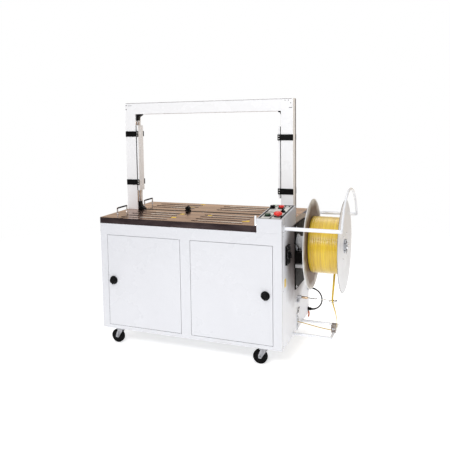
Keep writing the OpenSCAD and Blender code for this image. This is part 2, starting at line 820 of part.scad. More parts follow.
cabinet_frame();
front_frame();
left_side_panel();
right_side_panel();
rear_panel();
fixed_deck();
table_front_plate();
table_rear_plate();
anvil_slide();
lower_track();
arch_left_column();
arch_right_column();
arch_top_beam();
corner_guides();
gate_clamps();
left_front_gate();
left_rear_gate();
right_front_gate();
right_rear_gate();
console_box();
console_panel();
emergency_button();
stop_button();
start_button();
tension_knob();
mode_selector();
main_switch_box();
main_switch_knob();
left_door();
right_door();
left_latch();
right_latch();
caster_plates();
front_left_fork();
front_right_fork();
rear_left_fork();
rear_right_fork();
front_left_wheel();
front_right_wheel();
rear_left_wheel();
rear_right_wheel();
reel_mount();
reel_hub();
outer_flange();
strap_winding();
hub_lock();
reel_guard();
lower_guide_frame();
guide_roller();
guide_arm();
strap_inlet();
strap_run();
cable_fittings();
power_cable();
sealing_head();
cam_shaft();
feed_frame();
feed_roller();
pinch_roller();
control_box();
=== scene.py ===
import math

import bmesh
import bpy
from mathutils import Matrix, Vector, noise


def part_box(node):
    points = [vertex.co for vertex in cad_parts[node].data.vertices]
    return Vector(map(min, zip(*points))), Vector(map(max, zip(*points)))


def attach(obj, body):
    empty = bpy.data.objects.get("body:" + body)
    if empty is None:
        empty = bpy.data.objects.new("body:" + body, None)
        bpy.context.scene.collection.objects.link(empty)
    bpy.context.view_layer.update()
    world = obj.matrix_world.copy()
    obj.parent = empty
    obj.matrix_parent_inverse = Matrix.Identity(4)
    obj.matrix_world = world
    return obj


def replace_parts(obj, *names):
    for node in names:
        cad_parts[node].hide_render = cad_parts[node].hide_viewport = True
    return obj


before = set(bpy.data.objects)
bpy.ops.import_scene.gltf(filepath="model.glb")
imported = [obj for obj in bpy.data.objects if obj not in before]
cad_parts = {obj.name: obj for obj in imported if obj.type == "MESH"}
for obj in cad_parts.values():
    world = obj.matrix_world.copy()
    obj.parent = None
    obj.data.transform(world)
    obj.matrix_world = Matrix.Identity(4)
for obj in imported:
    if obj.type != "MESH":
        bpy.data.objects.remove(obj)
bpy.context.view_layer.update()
scene = bpy.context.scene


def P(x, y, z):
    """A point given in millimetres from the cabinet's front left corner on the floor."""
    return Vector(((x - 695.5) / 1000, (y - 318) / 1000, z / 1000))


# Places in P's millimetres that more than one piece needs
CAB_W = 1090                                    # right side of the cabinet
REEL_Y, REEL_Z = 341, 614                       # reel axis
STRAP_Y = 346                                   # plane of the strap
LATCH_Z = 396
SWITCH_Y, SWITCH_Z = 113, 597                   # main switch
ROLLER_X, ROLLER_Z = 1300, 140                  # lower guide roller
ARM_Y, ARM_Z = 367.5, 290                       # guide arm
GUARD_Z = 748                                   # bars of the reel guard
CAM_Y, CAM_Z = 390, 600                         # cam shaft
FEED_X, FEED_Z = 700, 560                       # feed roller
CABLE_Y, GLAND_Z, PLUG_Z = 640, 268, 134        # side cable

RIGHT, LEFT, BACK, FRONT, TOP, BOTTOM = (1, 0, 0), (-1, 0, 0), (0, 1, 0), (0, -1, 0), (0, 0, 1), (0, 0, -1)


# ---- camera -------------------------------------------------------------------------------------

def make_camera():
    yaw, pitch, roll = math.radians(22.68), math.radians(-5.03), math.radians(-1.01)
    forward = Vector((-math.sin(yaw) * math.cos(pitch), math.cos(yaw) * math.cos(pitch), math.sin(pitch)))
    right = Vector((math.cos(yaw), math.sin(yaw), 0))
    up = right.cross(forward)
    right, up = (right * math.cos(roll) + up * math.sin(roll), up * math.cos(roll) - right * math.sin(roll))
    data = bpy.data.cameras.new("camera")
    data.sensor_width = 36
    data.lens = 568.94 / 450 * 36
    data.shift_x = (225 - 201.07) / 450
    data.shift_y = (170.74 - 225) / 450
    data.clip_start, data.clip_end = 0.05, 100
    cam = bpy.data.objects.new("camera", data)
    turn = Matrix((right, up, -forward)).transposed()
    cam.matrix_world = Matrix.Translation(P(1825.29, -2817.7, 1317.91)) @ turn.to_4x4()
    scene.collection.objects.link(cam)
    scene.camera = cam


make_camera()


# ---- materials ----------------------------------------------------------------------------------

def add(tree, kind, settings=None, **inputs):
    n = tree.nodes.new(kind)
    for k, v in (settings or {}).items():
        setattr(n, k, v)
    for k, v in inputs.items():
        socket = n.inputs[int(k[1:])] if k[0] == "i" and k[1:].isdigit() else n.inputs[k.replace("_", " ")]
        if isinstance(v, bpy.types.NodeSocket):
            tree.links.new(v, socket)
        else:
            socket.default_value = v
    return n


def rgb(c):
    """sRGB 0-255 to a linear colour."""
    return tuple((v / 255 / 12.92 if v <= 10 else ((v / 255 + 0.055) / 1.055) ** 2.4) for v in c) + (1,)


class Finish:
    """A principled material whose colour, roughness and bump come from noise in object space."""

    def __init__(self, name, metallic=0.0, coat=0.0, ior=1.5):
        self.m = bpy.data.materials.new(name)
        self.m.use_nodes = True
        self.t = self.m.node_tree
        self.b = self.t.nodes["Principled BSDF"]
        for socket, value in (("Metallic", metallic), ("Coat Weight", coat), ("Coat Roughness", 0.08),
                              ("IOR", ior)):
            self.set(socket, value)
        self.here = add(self.t, "ShaderNodeTexCoord").outputs["Object"]
        self.height = None

    def set(self, socket, value):
        """Gives one of the shader's own sockets a value that is the same all over."""
        self.b.inputs[socket].default_value = value

    def link(self, socket, value):
        self.t.links.new(value, self.b.inputs[socket])

    def noise(self, scale, stretch=(1, 1, 1), detail=4.0, rough=0.55):
        at = add(self.t, "ShaderNodeMapping", Vector=self.here, Scale=stretch)
        return add(self.t, "ShaderNodeTexNoise", Vector=at.outputs[0], Scale=scale, Detail=detail,
                   Roughness=rough).outputs["Fac"]

    def ramp(self, value, low, high, out_low=0.0, out_high=1.0):
        return add(self.t, "ShaderNodeMapRange", Value=value, From_Min=low, From_Max=high,
                   To_Min=out_low, To_Max=out_high).outputs[0]

    def maths(self, kind, a, b):
        return add(self.t, "ShaderNodeMath", {"operation": kind}, i0=a, i1=b).outputs[0]

    def mix(self, fac, a, b):
        n = add(self.t, "ShaderNodeMix", {"data_type": "RGBA"})
        for socket, v in ((n.inputs[0], fac), (n.inputs[6], a), (n.inputs[7], b)):
            if isinstance(v, bpy.types.NodeSocket):
                self.t.links.new(v, socket)
            else:
                socket.default_value = v
        return n.outputs[2]

    def axis(self, index):
        """Object-space coordinate in metres."""
        return add(self.t, "ShaderNodeSeparateXYZ", Vector=self.here).outputs[index]

    def band(self, index, low, high):
        """1 where the coordinate lies between two heights, widths or depths, in millimetres as in P."""
        low, high = (P(*[v] * 3)[index] for v in (low, high))
        at = self.axis(index)
        return self.maths("MULTIPLY", self.maths("GREATER_THAN", at, low), self.maths("LESS_THAN", at, high))

    def from_axis(self, height):
        """Distance in metres from the line along X at the reel axis's depth and a height in millimetres."""
        offset = add(self.t, "ShaderNodeVectorMath", {"operation": "SUBTRACT"}, i0=self.here,
                     i1=P(0, REEL_Y, height))
        flat = add(self.t, "ShaderNodeVectorMath", {"operation": "MULTIPLY"}, i0=offset.outputs[0],
                   i1=(0, 1, 1))
        return add(self.t, "ShaderNodeVectorMath", {"operation": "LENGTH"},
                   i0=flat.outputs[0]).outputs["Value"]

    def upward(self):
        """1 on faces that look up on the piece at rest, 0 on upright ones."""
        normal = add(self.t, "ShaderNodeTexCoord").outputs["Normal"]
        z = add(self.t, "ShaderNodeSeparateXYZ", Vector=normal).outputs[2]
        return self.ramp(z, 0.5, 0.8)

    def colour(self, socket):
        self.link("Base Color", socket)

    def rough(self, low, high, scale):
        self.link("Roughness", self.ramp(self.noise(scale), 0.3, 0.7, low, high))

    def bump(self, value, strength=0.3, distance=0.001):
        n = add(self.t, "ShaderNodeBump", Height=value, Strength=strength, Distance=distance)
        if self.height is not None:
            self.t.links.new(self.height, n.inputs["Normal"])
        self.height = n.outputs[0]
        self.link("Normal", self.height)


def powder_coat(name, base, dirt, low=0.22, high=0.38, coat=0.25):
    """Faint mottling, orange peel, a little dust lower down; the colour is left to be linked."""
    f = Finish(name, coat=coat)
    cloud = f.ramp(f.noise(2.2, detail=5), 0.35, 0.75)
    specks = f.ramp(f.noise(420, detail=2), 0.66, 0.80)
    tone = f.mix(cloud, rgb(base), rgb(tuple(max(0, c - 4) for c in base)))
    low_down = f.ramp(f.axis(2), 0.16, 0.06)
    dust = f.maths("MULTIPLY", low_down, f.ramp(f.noise(9, detail=6), 0.45, 0.75))
    tone = f.mix(f.maths("MULTIPLY", dust, 0.5), tone, rgb(dirt))
    tone = f.mix(f.maths("MULTIPLY", specks, 0.12), tone, rgb(dirt))
    f.rough(low, high, 5)
    f.bump(f.noise(260, detail=1.5), 0.10, 0.0006)
    f.bump(f.noise(14, detail=2), 0.05, 0.002)
    return f, tone


def paint(*args, **options):
    """Plain powder coat."""
    f, tone = powder_coat(*args, **options)
    f.colour(tone)
    return f.m


def gap_shaded_paint(name, base, dirt, gap_shade):
    """Powder coat on the front frame; the walls inside its openings are painted dark, as painted shade in the
    door gaps.
    """
    f, painted = powder_coat(name, base, dirt)
    # walls 1.6 to 30 mm behind the front, inside the door openings, take the dark colour: painted shade
    inside = f.maths("MULTIPLY", f.band(0, 36, 1052), f.band(2, 118, 672))
    f.colour(f.mix(f.maths("MULTIPLY", f.band(1, 1.6, 30), inside), painted, rgb(gap_shade)))
    return f.m


def plastic(name, base, wear_and_highlight, low=0.32, high=0.5, grain=900, strength=0.18, coat=0.0, gloss=0.5):
    f = Finish(name, coat=coat)
    f.set("Specular IOR Level", gloss)
    f.colour(f.mix(f.ramp(f.noise(40, detail=6), 0.5, 0.8), rgb(base), rgb(wear_and_highlight)))
    f.rough(low, high, 30)
    f.bump(f.noise(grain, detail=2), strength, 0.0004)
    return f.m


def brushed(name, dark, light, stretch, low=0.2, high=0.38, scale=60, strength=0.12):
    """Ground or drawn metal with its grain along the axis of the small stretch number."""
    f = Finish(name, metallic=1.0)
    grain = f.noise(scale, stretch, detail=7, rough=0.6)
    cloud = f.noise(5, detail=4)
    tone = f.mix(f.ramp(grain, 0.3, 0.7), rgb(dark), rgb(light))
    f.colour(f.mix(f.ramp(cloud, 0.35, 0.75, 0.0, 0.35), tone, rgb(dark)))
    f.link("Roughness", f.ramp(grain, 0.25, 0.75, low, high))
    f.bump(grain, strength, 0.0005)
    return f.m


# the second colour is a painted highlight for the rib tops
STREAK, RIB_HIGHLIGHT = (114, 80, 54), (246, 238, 228)
# painted shade for the table's upright faces
SHADED_SIDE_DARK, SHADED_SIDE_LIGHT = (62, 51, 54), (104, 90, 90)


def table_steel(name, dark, light, rear_light):
    """Worn stainless sheet: long brown streaks, rib tops with a painted highlight, upright edges in painted
    shade.
    """
    f = Finish(name, metallic=1.0)
    streak = f.noise(3.0, (0.45, 9, 1), detail=6, rough=0.62)
    fine = f.noise(55, (0.05, 3, 1), detail=4, rough=0.6)
    cloud = f.noise(4.5, (0.6, 1.3, 1), detail=5)
    rear = f.ramp(f.axis(1), -0.30, 0.34)
    bright = f.mix(rear, rgb(light), rgb(rear_light))
    tone = f.mix(f.ramp(streak, 0.36, 0.66), rgb(dark), bright)
    tone = f.mix(f.ramp(cloud, 0.42, 0.72, 0.0, 0.5), tone, rgb(dark))
    tone = f.mix(f.ramp(fine, 0.4, 0.8, 0.0, 0.3), tone, rgb(STREAK))
    # X bands where the rib tops get a painted highlight and more roughness
    wear_and_highlight = f.maths("MAXIMUM", f.band(0, 240, 440), f.band(0, 600, 880))
    rib_wear_and_highlight = f.maths("MULTIPLY", f.ramp(f.axis(2), 0.7656, 0.7664),
                     f.maths("MULTIPLY", f.ramp(wear_and_highlight, 0.0, 1.0, 0.25, 1.0),
                             f.ramp(f.noise(7, (0.5, 2, 1), detail=4), 0.36, 0.58, 0.3, 1.0)))
    tone = f.mix(rib_wear_and_highlight, tone, rgb(RIB_HIGHLIGHT))
    # upright faces take a darker colour than the top: painted shade
    edge = f.mix(f.ramp(f.noise(16, (0.4, 1, 1.5), detail=5), 0.35, 0.7), rgb(SHADED_SIDE_DARK), rgb(SHADED_SIDE_LIGHT))
    f.colour(f.mix(f.upward(), edge, tone))
    even = f.ramp(streak, 0.3, 0.7, 0.22, 0.11)
    f.link("Roughness", f.maths("ADD", even, f.maths("MULTIPLY", rib_wear_and_highlight, 0.35)))
    f.bump(fine, 0.10, 0.0004)
    f.bump(f.noise(9, (0.5, 1, 1), detail=3), 0.10, 0.002)
    return f.m


def strap_plastic(name, base, deep, pale):
    """Embossed polypropylene strap: a fine diamond pattern, lengthwise tone changes."""
    f = Finish(name, coat=1.0, ior=1.45)
    f.set("Coat Roughness", 0.30)
    f.set("Coat IOR", 1.6)
    lines = f.noise(150, (1, 0.025, 0.025), detail=3)
    tone = f.mix(f.ramp(lines, 0.36, 0.62), rgb(base), rgb(deep))
    f.colour(f.mix(f.ramp(f.noise(60, (1, 0.03, 0.03), detail=2), 0.55, 0.75, 0.0, 0.7), tone, rgb(pale)))
    f.rough(0.28, 0.40, 25)
    f.set("Subsurface Weight", 0.15)
    f.set("Subsurface Radius", (0.004, 0.003, 0.0008))
    f.bump(add(f.t, "ShaderNodeTexVoronoi", Vector=f.here, Scale=620.0).outputs["Distance"], 0.15, 0.0003)
    return f.m


def shadow_painted_coat(name, base, shadow_and_dust, near, far, strength, hole=0.0, height=REEL_Z):
    """Powder coat with a painted brown shadow round a line along X at a height, fading out between two radii
    in metres; the shadow colour also serves as its dust colour.
    """
    f, painted = powder_coat(name, base, shadow_and_dust, low=0.36, high=0.52, coat=0.0)
    f.set("Specular IOR Level", 0.12)
    away = f.from_axis(height)
    reach = f.maths("ADD", away, f.ramp(f.noise(14, detail=5), 0.2, 0.8, -0.03, 0.03))
    # painted shadow: the mask browns the coat near the line and fades out by the far radius
    shadow_mask = f.maths("MULTIPLY", f.ramp(reach, far, near, 0.0, strength), f.maths("GREATER_THAN", away, hole))
    f.colour(f.mix(shadow_mask, painted, rgb(shadow_and_dust)))
    return f.m


def mount_paint(name, black_and_shade, light):
    """Reel mount painted black, partly its own black and partly painted shade of the gap between cabinet and
    reel; its bearing sleeve and brake bar are left light.
    """
    f = Finish(name)
    f.set("Specular IOR Level", 0.1)
    wear_and_highlight = f.mix(f.ramp(f.noise(40, detail=6), 0.5, 0.8), rgb(black_and_shade), rgb(tuple(c + 20 for c in black_and_shade)))
    bare = f.mix(f.ramp(f.noise(30, (0.1, 1, 1), detail=5), 0.3, 0.7), rgb(light),
                 rgb(tuple(c - 16 for c in light)))
    sleeve = f.maths("LESS_THAN", f.from_axis(REEL_Z), 0.0412)
    bar = f.band(2, 480, 504.4)
    proud = f.maths("GREATER_THAN", f.axis(0), P(1096.4, 0, 0).x)
    f.colour(f.mix(f.maths("MULTIPLY", proud, f.maths("MAXIMUM", sleeve, bar)), wear_and_highlight, bare))
    f.rough(0.5, 0.66, 30)
    f.bump(f.noise(600, detail=2), 0.12, 0.0004)
    return f.m


CABINET_COAT, CABINET_DIRT = (215, 216, 221), (196, 192, 186)
WHITE = paint("white_powder_coat", CABINET_COAT, CABINET_DIRT)
# the dark colour is painted shade inside the door gaps
FRAME = gap_shaded_paint("white_frame_coat", CABINET_COAT, CABINET_DIRT, (44, 42, 44))
ARCH = paint("white_arch_coat", (241, 241, 243), (208, 205, 200), low=0.2, high=0.34)
REEL = paint("reel_enamel", (218, 220, 224), (190, 188, 186), low=0.26, high=0.42)
# painted shade: the inner flange's face is browned round the winding, where the winding shades it
HUB = shadow_painted_coat("hub_enamel", (236, 236, 238), (98, 72, 52), 0.205, 0.266, 0.95, 0.13)
# painted shadow of the reel on the right side panel round the reel mount; this panel's white is also painted
# lighter than the rest of the cabinet's, as painted light
SIDE = shadow_painted_coat("side_coat", (242, 244, 250), (92, 70, 58), 0.19, 0.32, 0.82, 0.0, 560)
GUARD = paint("guard_enamel", (232, 234, 239), (200, 198, 196), low=0.18, high=0.3, coat=0.4)
GREY = paint("machine_grey_paint", (122, 132, 142), (84, 86, 88), low=0.3, high=0.5)
INSIDE = paint("inside_coat", (208, 210, 214), (150, 148, 146), low=0.35, high=0.55, coat=0.0)
TABLE = table_steel("worn_stainless", (142, 100, 74), (194, 146, 114), (218, 166, 126))
# the strap slot's channel and the strips beside it, darkened as painted shade of the slot
SLOT_SHADE = brushed("slot_painted_shade", (34, 30, 30), (66, 60, 58), (0.08, 1, 1), 0.35, 0.5)
# thin dark lines of painted shade: the outer flange's rim edge, the right column's side face and the beam's
# top edge
SHADE_LINE = plastic("painted_shade_line", (84, 74, 72), (112, 100, 96), 0.5, 0.7, 400, 0.2, gloss=0.2)
# the mount's black is partly its own and partly painted shade of the gap between the cabinet side and the
# reel
MOUNT = mount_paint("mount_enamel", (16, 13, 12), (240, 240, 242))
LEG = brushed("polished_leg", (206, 206, 206), (240, 240, 240), (1, 1, 0.08), 0.15, 0.3)
LINER = brushed("track_stainless", (150, 132, 126), (214, 202, 196), (1, 1, 0.05))
ZINC = brushed("zinc_plate", (150, 152, 156), (206, 208, 212), (1, 1, 1), 0.3, 0.48, 25)
BRACKET = brushed("worn_bracket", (96, 84, 78), (182, 172, 164), (1, 0.3, 1), 0.3, 0.45, 40)
BRIGHT = brushed("ground_steel", (168, 166, 164), (222, 220, 216), (0.08, 1, 1))
DARK = brushed("blackened_steel", (40, 40, 42), (78, 78, 80), (1, 0.2, 1), 0.32, 0.5)
CHROME = brushed("chrome_plate", (196, 197, 201), (232, 233, 236), (1, 1, 1), 0.08, 0.2, 12, 0.03)
FORK = brushed("worn_fork_plate", (108, 108, 112), (206, 206, 210), (1, 1, 0.6), 0.2, 0.4, 30, 0.08)
BRASS = brushed("brass", (206, 172, 136), (238, 214, 186), (0.1, 1, 1), 0.22, 0.36)
BLACK = plastic("black_moulded", (7, 7, 8), (24, 23, 23), gloss=0.1)
RUBBER = plastic("black_rubber", (6, 6, 7), (22, 21, 21), 0.5, 0.75, 500, 0.3, gloss=0.08)
PANEL = plastic("panel_film", (218, 218, 213), (202, 203, 199), 0.28, 0.4, 1400, 0.08, coat=0.3)
RED = plastic("red_moulded", (226, 34, 22), (190, 24, 18), 0.2, 0.34, 600, 0.06, coat=0.4)
GREEN = plastic("green_moulded", (14, 58, 36), (10, 40, 26), 0.2, 0.34, 600, 0.06, coat=0.4)
IVORY = plastic("ivory_moulded", (232, 232, 228), (210, 208, 202), 0.3, 0.42, 600, 0.08)
STICKER = plastic("yellow_vinyl", (236, 198, 28), (216, 176, 24), 0.3, 0.42, 120, 0.12)
STRAP = strap_plastic("strap_yellow", (230, 196, 0), (208, 168, 0), (240, 216, 14))
# a darker copy of the strap for the core under the turns: painted shade in the gaps between turns
STRAP_GAP_SHADE = strap_plastic("strap_yellow_gap_shade", (186, 146, 30), (160, 120, 22), (206, 168, 60))
ORANGE = plastic("orange_wire", (204, 96, 10), (176, 88, 10), 0.35, 0.5)
GLOW = plastic("lamp_lens", (196, 224, 196), (176, 208, 178), 0.12, 0.2, 300, 0.04, coat=0.6)


# ---- mesh building ------------------------------------------------------------------------------

def join(bm, part, mat):
    """Adds part to bm with one material and smooth shading, and frees it."""
    for f in part.faces:
        f.material_index = mat
        f.smooth = True
    mesh = bpy.data.meshes.new("part")
    part.to_mesh(mesh)
    part.free()
    bm.from_mesh(mesh)
    bpy.data.meshes.remove(mesh)


def mesh_object(name, bm, mats, sharp=None):
    """Turns bm into a linked object, with edges sharp above an angle in degrees."""
    mesh = bpy.data.meshes.new(name)
    bm.to_mesh(mesh)
    bm.free()
    for m in mats:
        mesh.materials.append(m)
    if sharp:
        mesh.set_sharp_from_angle(angle=math.radians(sharp))
    obj = bpy.data.objects.new(name, mesh)
    scene.collection.objects.link(obj)
    return obj


def skin(bm, rings):
    """Faces between closed rings of the same number of points."""
    for a, b in zip(rings, rings[1:]):
        for k in range(len(a)):
            n = (k + 1) % len(a)
            bm.faces.new((a[k], a[n], b[n], b[k]))


def circle(y, z, r, count, start=0):
    """Points evenly spaced round a circle in any plane of two axes, from an angle in degrees."""
    angles = [math.radians(start + 360 / count * k) for k in range(count)]
    return [(y + r * math.cos(a), z + r * math.sin(a)) for a in angles]


class Kit:
    """Collects small shapes into one mesh that rides on one body. Sizes are in millimetres."""

    def __init__(self, name, body, mats, slot=None):
        self.name, self.body, self.mats, self.slot = name, body, mats, slot
        self.bm = bmesh.new()

    def box(self, lo, hi, r=0.6, mat=0, turn=None, steps=2):
        """A block with rounded edges; turn is (angle in degrees, axis) about its middle."""
        part = bmesh.new()
        bmesh.ops.create_cube(part, size=1)
        size = [h - l for l, h in zip(lo, hi)]
        mid = [(h + l) / 2 for l, h in zip(lo, hi)]
        bmesh.ops.scale(part, vec=[s / 1000 for s in size], verts=part.verts)
        r = min(r, min(size) * 0.45)
        bmesh.ops.bevel(part, geom=part.edges[:], offset=r / 1000, segments=steps, profile=0.5,
                        affect="EDGES")
        if turn:
            bmesh.ops.rotate(part, matrix=Matrix.Rotation(math.radians(turn[0]), 3, turn[1]),
                             verts=part.verts)
        bmesh.ops.translate(part, vec=P(*mid), verts=part.verts)
        join(self.bm, part, mat)
        return self

    def lathe(self, at, axis, profile, mat=0, seg=40, close=False):
        """Turns a profile of (distance along the axis, radius) about the axis from the point at."""
        part = bmesh.new()
        axis = Vector(axis).normalized()
        side = axis.orthogonal().normalized()
        other = axis.cross(side)
        start = P(*at)
        rings = []
        for along, radius in profile:
            if radius < 1e-6:
                rings.append([part.verts.new(start + axis * along / 1000)])
                continue
            mid = start + axis * along / 1000
            rings.append([part.verts.new(mid + (side * math.cos(a) + other * math.sin(a)) * radius / 1000)
                          for a in (2 * math.pi * k / seg for k in range(seg))])
        pairs = list(zip(rings, rings[1:])) + ([(rings[-1], rings[0])] if close else [])
        for a, b in pairs:
            for k in range(seg):
                n = (k + 1) % seg
                if len(a) == 1:
                    part.faces.new((a[0], b[k], b[n]))
                elif len(b) == 1:
                    part.faces.new((a[k], b[0], a[n]))
                else:
                    part.faces.new((a[k], b[k], b[n], a[n]))
        bmesh.ops.recalc_face_normals(part, faces=part.faces)
        join(self.bm, part, mat)
        return self

    def pin(self, at, axis, length, r, mat=0, edge=0.5, seg=24):
        """A closed round bar with rounded ends."""
        e = min(edge, r * 0.45, length * 0.45)
        return self.lathe(at, axis, [(0, 0), (0, r - e), (e * 0.3, r - e * 0.3), (e, r), (length - e, r),
                                     (length - e * 0.3, r - e * 0.3), (length, r - e), (length, 0)], mat, seg)

    def screw(self, at, axis, r=4.0, mat=0, h=2.0):
        """A pan head with a recess."""
        return self.lathe(at, axis, [(0, r), (h * 0.5, r * 0.96), (h * 0.85, r * 0.78), (h, r * 0.5),
                                     (h, r * 0.34), (h * 0.4, r * 0.22), (h * 0.4, 0)], mat, 20)

    def bolt(self, at, axis, r=5.0, mat=0, h=3.5):
        """A hexagon head on a washer."""
        self.pin(at, axis, 1.0, r * 1.5, mat, 0.3)
        axis = Vector(axis).normalized()
        base = Vector(at) + axis * 1.0
        return self.lathe(tuple(base), axis, [(0, r), (h * 0.8, r), (h, r * 0.86), (h, 0)], mat, 6)

    def tube(self, points, r, mat=0, seg=12, radii=None):
        """A closed round tube along points in millimetres; radii gives one for each point instead of r."""
        part = bmesh.new()
        pts = [P(*p) for p in points]
        rings, side = [], None
        for i, p in enumerate(pts):
            t = (pts[min(i + 1, len(pts) - 1)] - pts[max(i - 1, 0)]).normalized()
            side = t.orthogonal().normalized() if side is None else (side - t * side.dot(t)).normalized()
            other = t.cross(side)
            rr = (radii[i] if radii else r) / 1000
            rings.append([part.verts.new(p + (side * math.cos(a) + other * math.sin(a)) * rr)
                          for a in (2 * math.pi * k / seg for k in range(seg))])
        skin(part, rings)
        part.faces.new(rings[0][::-1])
        part.faces.new(rings[-1])
        bmesh.ops.recalc_face_normals(part, faces=part.faces)
        join(self.bm, part, mat)
        return self

    def done(self):
        obj = mesh_object(self.name, self.bm, self.mats, 40)
        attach(obj, self.body)
        return obj


def smooth_route(points, per=6):
    """Catmull-Rom points along a route."""
    pts = [Vector(p) for p in points]
    ext = [pts[0] * 2 - pts[1]] + pts + [pts[-1] * 2 - pts[-2]]
    out = []
    for i in range(1, len(ext) - 2):
        a, b, c, d = ext[i - 1:i + 3]
        for k in range(per):
            t = k / per
            out.append(0.5 * (2 * b + (c - a) * t + (2 * a - 5 * b + 4 * c - d) * t * t
                              + (3 * b - a - 3 * c + d) * t ** 3))
    return out + [pts[-1]]


# ---- cords: the strap on its way to the inlet, and the cable loop -------------------------------

STRAP_ROUTE = [
    (1289, 501, 614), (1289, 498.5, 586), (1289, 491, 558), (1289, 481, 536), (1289, 466, 508),
    (1289, 450, 478), (1289, 433, 446), (1289, 416, 414), (1289, 399, 383), (1289, 383, 353),
    (1289, 366, 322), (1290, 351, 294), (1297, 348, 264), (1306, 347, 234), (1312, 346, 206),
    (1315, 346, 178), (1315.5, 346, 156), (1315, 346, 140), (1313, 346, 132.5),
    (1307.5, 346, 127), (1300, 346, 125), (1286, 346, 125.5), (1262, 346, 127),
    (1236, 346, 129.5), (1210, 346, 133), (1184, 346, 137), (1158, 346, 141.5),
    (1132, 346, 146), (1106, 346, 149.5), (1080, 346, 152)]
CABLE_ROUTE = [
    (1108, 640, 268), (1118, 640, 267.5), (1131, 640, 264.5), (1146, 640, 257.5),
    (1159, 640, 246.5), (1169, 640, 232.5), (1175, 640, 216.5), (1177, 640, 200),
    (1175, 640, 184), (1169, 640, 168.5), (1159, 640, 155), (1147, 640, 144.5),
    (1133, 640, 137.5), (1121, 640, 134.5), (1112, 640, 134)]


def strap_piece():
    route = smooth_route(STRAP_ROUTE, 5)
    bm = bmesh.new()
    rings = []
    profile = [(-6, -0.15), (-5.8, -0.4), (-3, -0.42), (0, -0.4), (3, -0.42), (5.8, -0.4), (6, -0.15),
               (6, 0.15), (5.8, 0.4), (3, 0.42), (0, 0.4), (-3, 0.42), (-5.8, 0.4), (-6, 0.15)]
    for i, p in enumerate(route):
        t = (route[min(i + 1, len(route) - 1)] - route[max(i - 1, 0)]).normalized()
        turn = math.radians(90 * min(1, max(0, (i / 5 - 4) / 11)))
        side = Vector((math.cos(turn), math.sin(turn), 0))
        side = (side - t * side.dot(t)).normalized()
        flat = t.cross(side)
        rings.append([bm.verts.new(P(*(p + side * a + flat * b))) for a, b in profile])
    skin(bm, rings)
    bm.faces.new(rings[0][::-1])
    bm.faces.new(rings[-1])
    bmesh.ops.recalc_face_normals(bm, faces=bm.faces)
    for f in bm.faces:
        f.smooth = True
    obj = mesh_object("strap_tail", bm, [STRAP], 50)
    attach(obj, "frame")
    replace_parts(obj, "strap_run")


def cable_piece():
    route = smooth_route(CABLE_ROUTE, 5)
    cable = Kit("side_cable", "frame", [RUBBER], "black_rubber").tube(route, 4, seg=16).done()
    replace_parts(cable, "power_cable")
    nut = [(0, 0), (0, 13), (3, 13), (4, 12), (4, 0)]
    n = 14                                      # points of the route inside each strain relief
    gland = Kit("cable_gland", "frame", [BLACK, RUBBER], "black_plastic")
    gland.lathe((CAB_W, CABLE_Y, GLAND_Z), RIGHT, nut, 0, 6)
    gland.lathe((CAB_W + 4, CABLE_Y, GLAND_Z), RIGHT, [
        (0, 10.5), (6, 10.5), (7, 9.6), (7, 8.4), (11, 8.2), (14, 6.2), (14, 0)], 0, 24)
    gland.tube(route[:n], 5, 1, 16, [6.2 - 2.0 * k / (n - 1) + (0.35 if k % 3 == 0 else 0) for k in range(n)])
    gland = gland.done()
    plug = Kit("cable_plug", "frame", [BLACK, RUBBER], "black_plastic")
    plug.lathe((CAB_W, CABLE_Y, PLUG_Z), RIGHT, nut, 0, 32)
    plug.lathe((CAB_W + 4, CABLE_Y, PLUG_Z), RIGHT, [
        (0, 9.6), (2, 10.2), (4, 9.4), (6, 10.2), (8, 9.4), (10, 10.2), (12, 9.4), (16, 8.6), (18, 6.6),
        (18, 0)], 0, 28)
    plug.tube(route[-n:], 5, 1, 16, [4.2 + 2.0 * k / (n - 1) + (0.35 if k % 3 == 0 else 0) for k in range(n)])
    plug = plug.done()
    for piece in (gland, plug):
        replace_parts(piece, "cable_fittings")


strap_piece()
cable_piece()


# ---- finishes and soft edges on the CAD nodes ---------------------------------------------------

FINISHES = (
    (ZINC, "cabinet_frame"),
    (FRAME, "front_frame"),
    (WHITE, "left_side_panel rear_panel console_box left_door right_door"),
    (SIDE, "right_side_panel"),
    (TABLE, "fixed_deck table_front_plate table_rear_plate"),
    (BLACK, "anvil_slide corner_guides gate_clamps tension_knob mode_selector main_switch_box "
            "main_switch_knob"),
    (SLOT_SHADE, "lower_track"),
    (ARCH, "arch_left_column arch_right_column arch_top_beam left_front_gate left_rear_gate "
           "right_front_gate right_rear_gate"),
    (PANEL, "console_panel"),
    (RED, "emergency_button stop_button"),
    (GREEN, "start_button"),
    (CHROME, "caster_plates"),
    (FORK, "front_left_fork front_right_fork rear_left_fork rear_right_fork"),
    (MOUNT, "reel_mount"),
    (HUB, "reel_hub"),
    (GUARD, "reel_guard lower_guide_frame strap_inlet"),
    (BRIGHT, "guide_arm cam_shaft pinch_roller"),
    (IVORY, "guide_roller"),
    (DARK, "sealing_head"),
    (GREY, "feed_frame"),
    (RUBBER, "feed_roller"),
    (INSIDE, "control_box"))
# width in millimetres of a soft edge, where it is not 0.6
EDGE = {"front_frame": 0.9, "cabinet_frame": 1.5, "arch_left_column": 1.4, "arch_right_column": 1.4,
        "arch_top_beam": 1.4, "console_box": 0.9, "left_door": 0.9, "right_door": 0.9,
        "gate_clamps": 0.8, "corner_guides": 1.5, "anvil_slide": 1.0, "main_switch_box": 3.0,
        "main_switch_knob": 1.5, "emergency_button": 2.5, "stop_button": 2.0,
        "start_button": 1.5, "tension_knob": 1.2, "mode_selector": 1.4,
        "sealing_head": 1.5, "feed_frame": 2.0, "reel_mount": 1.5, "reel_hub": 1.2}

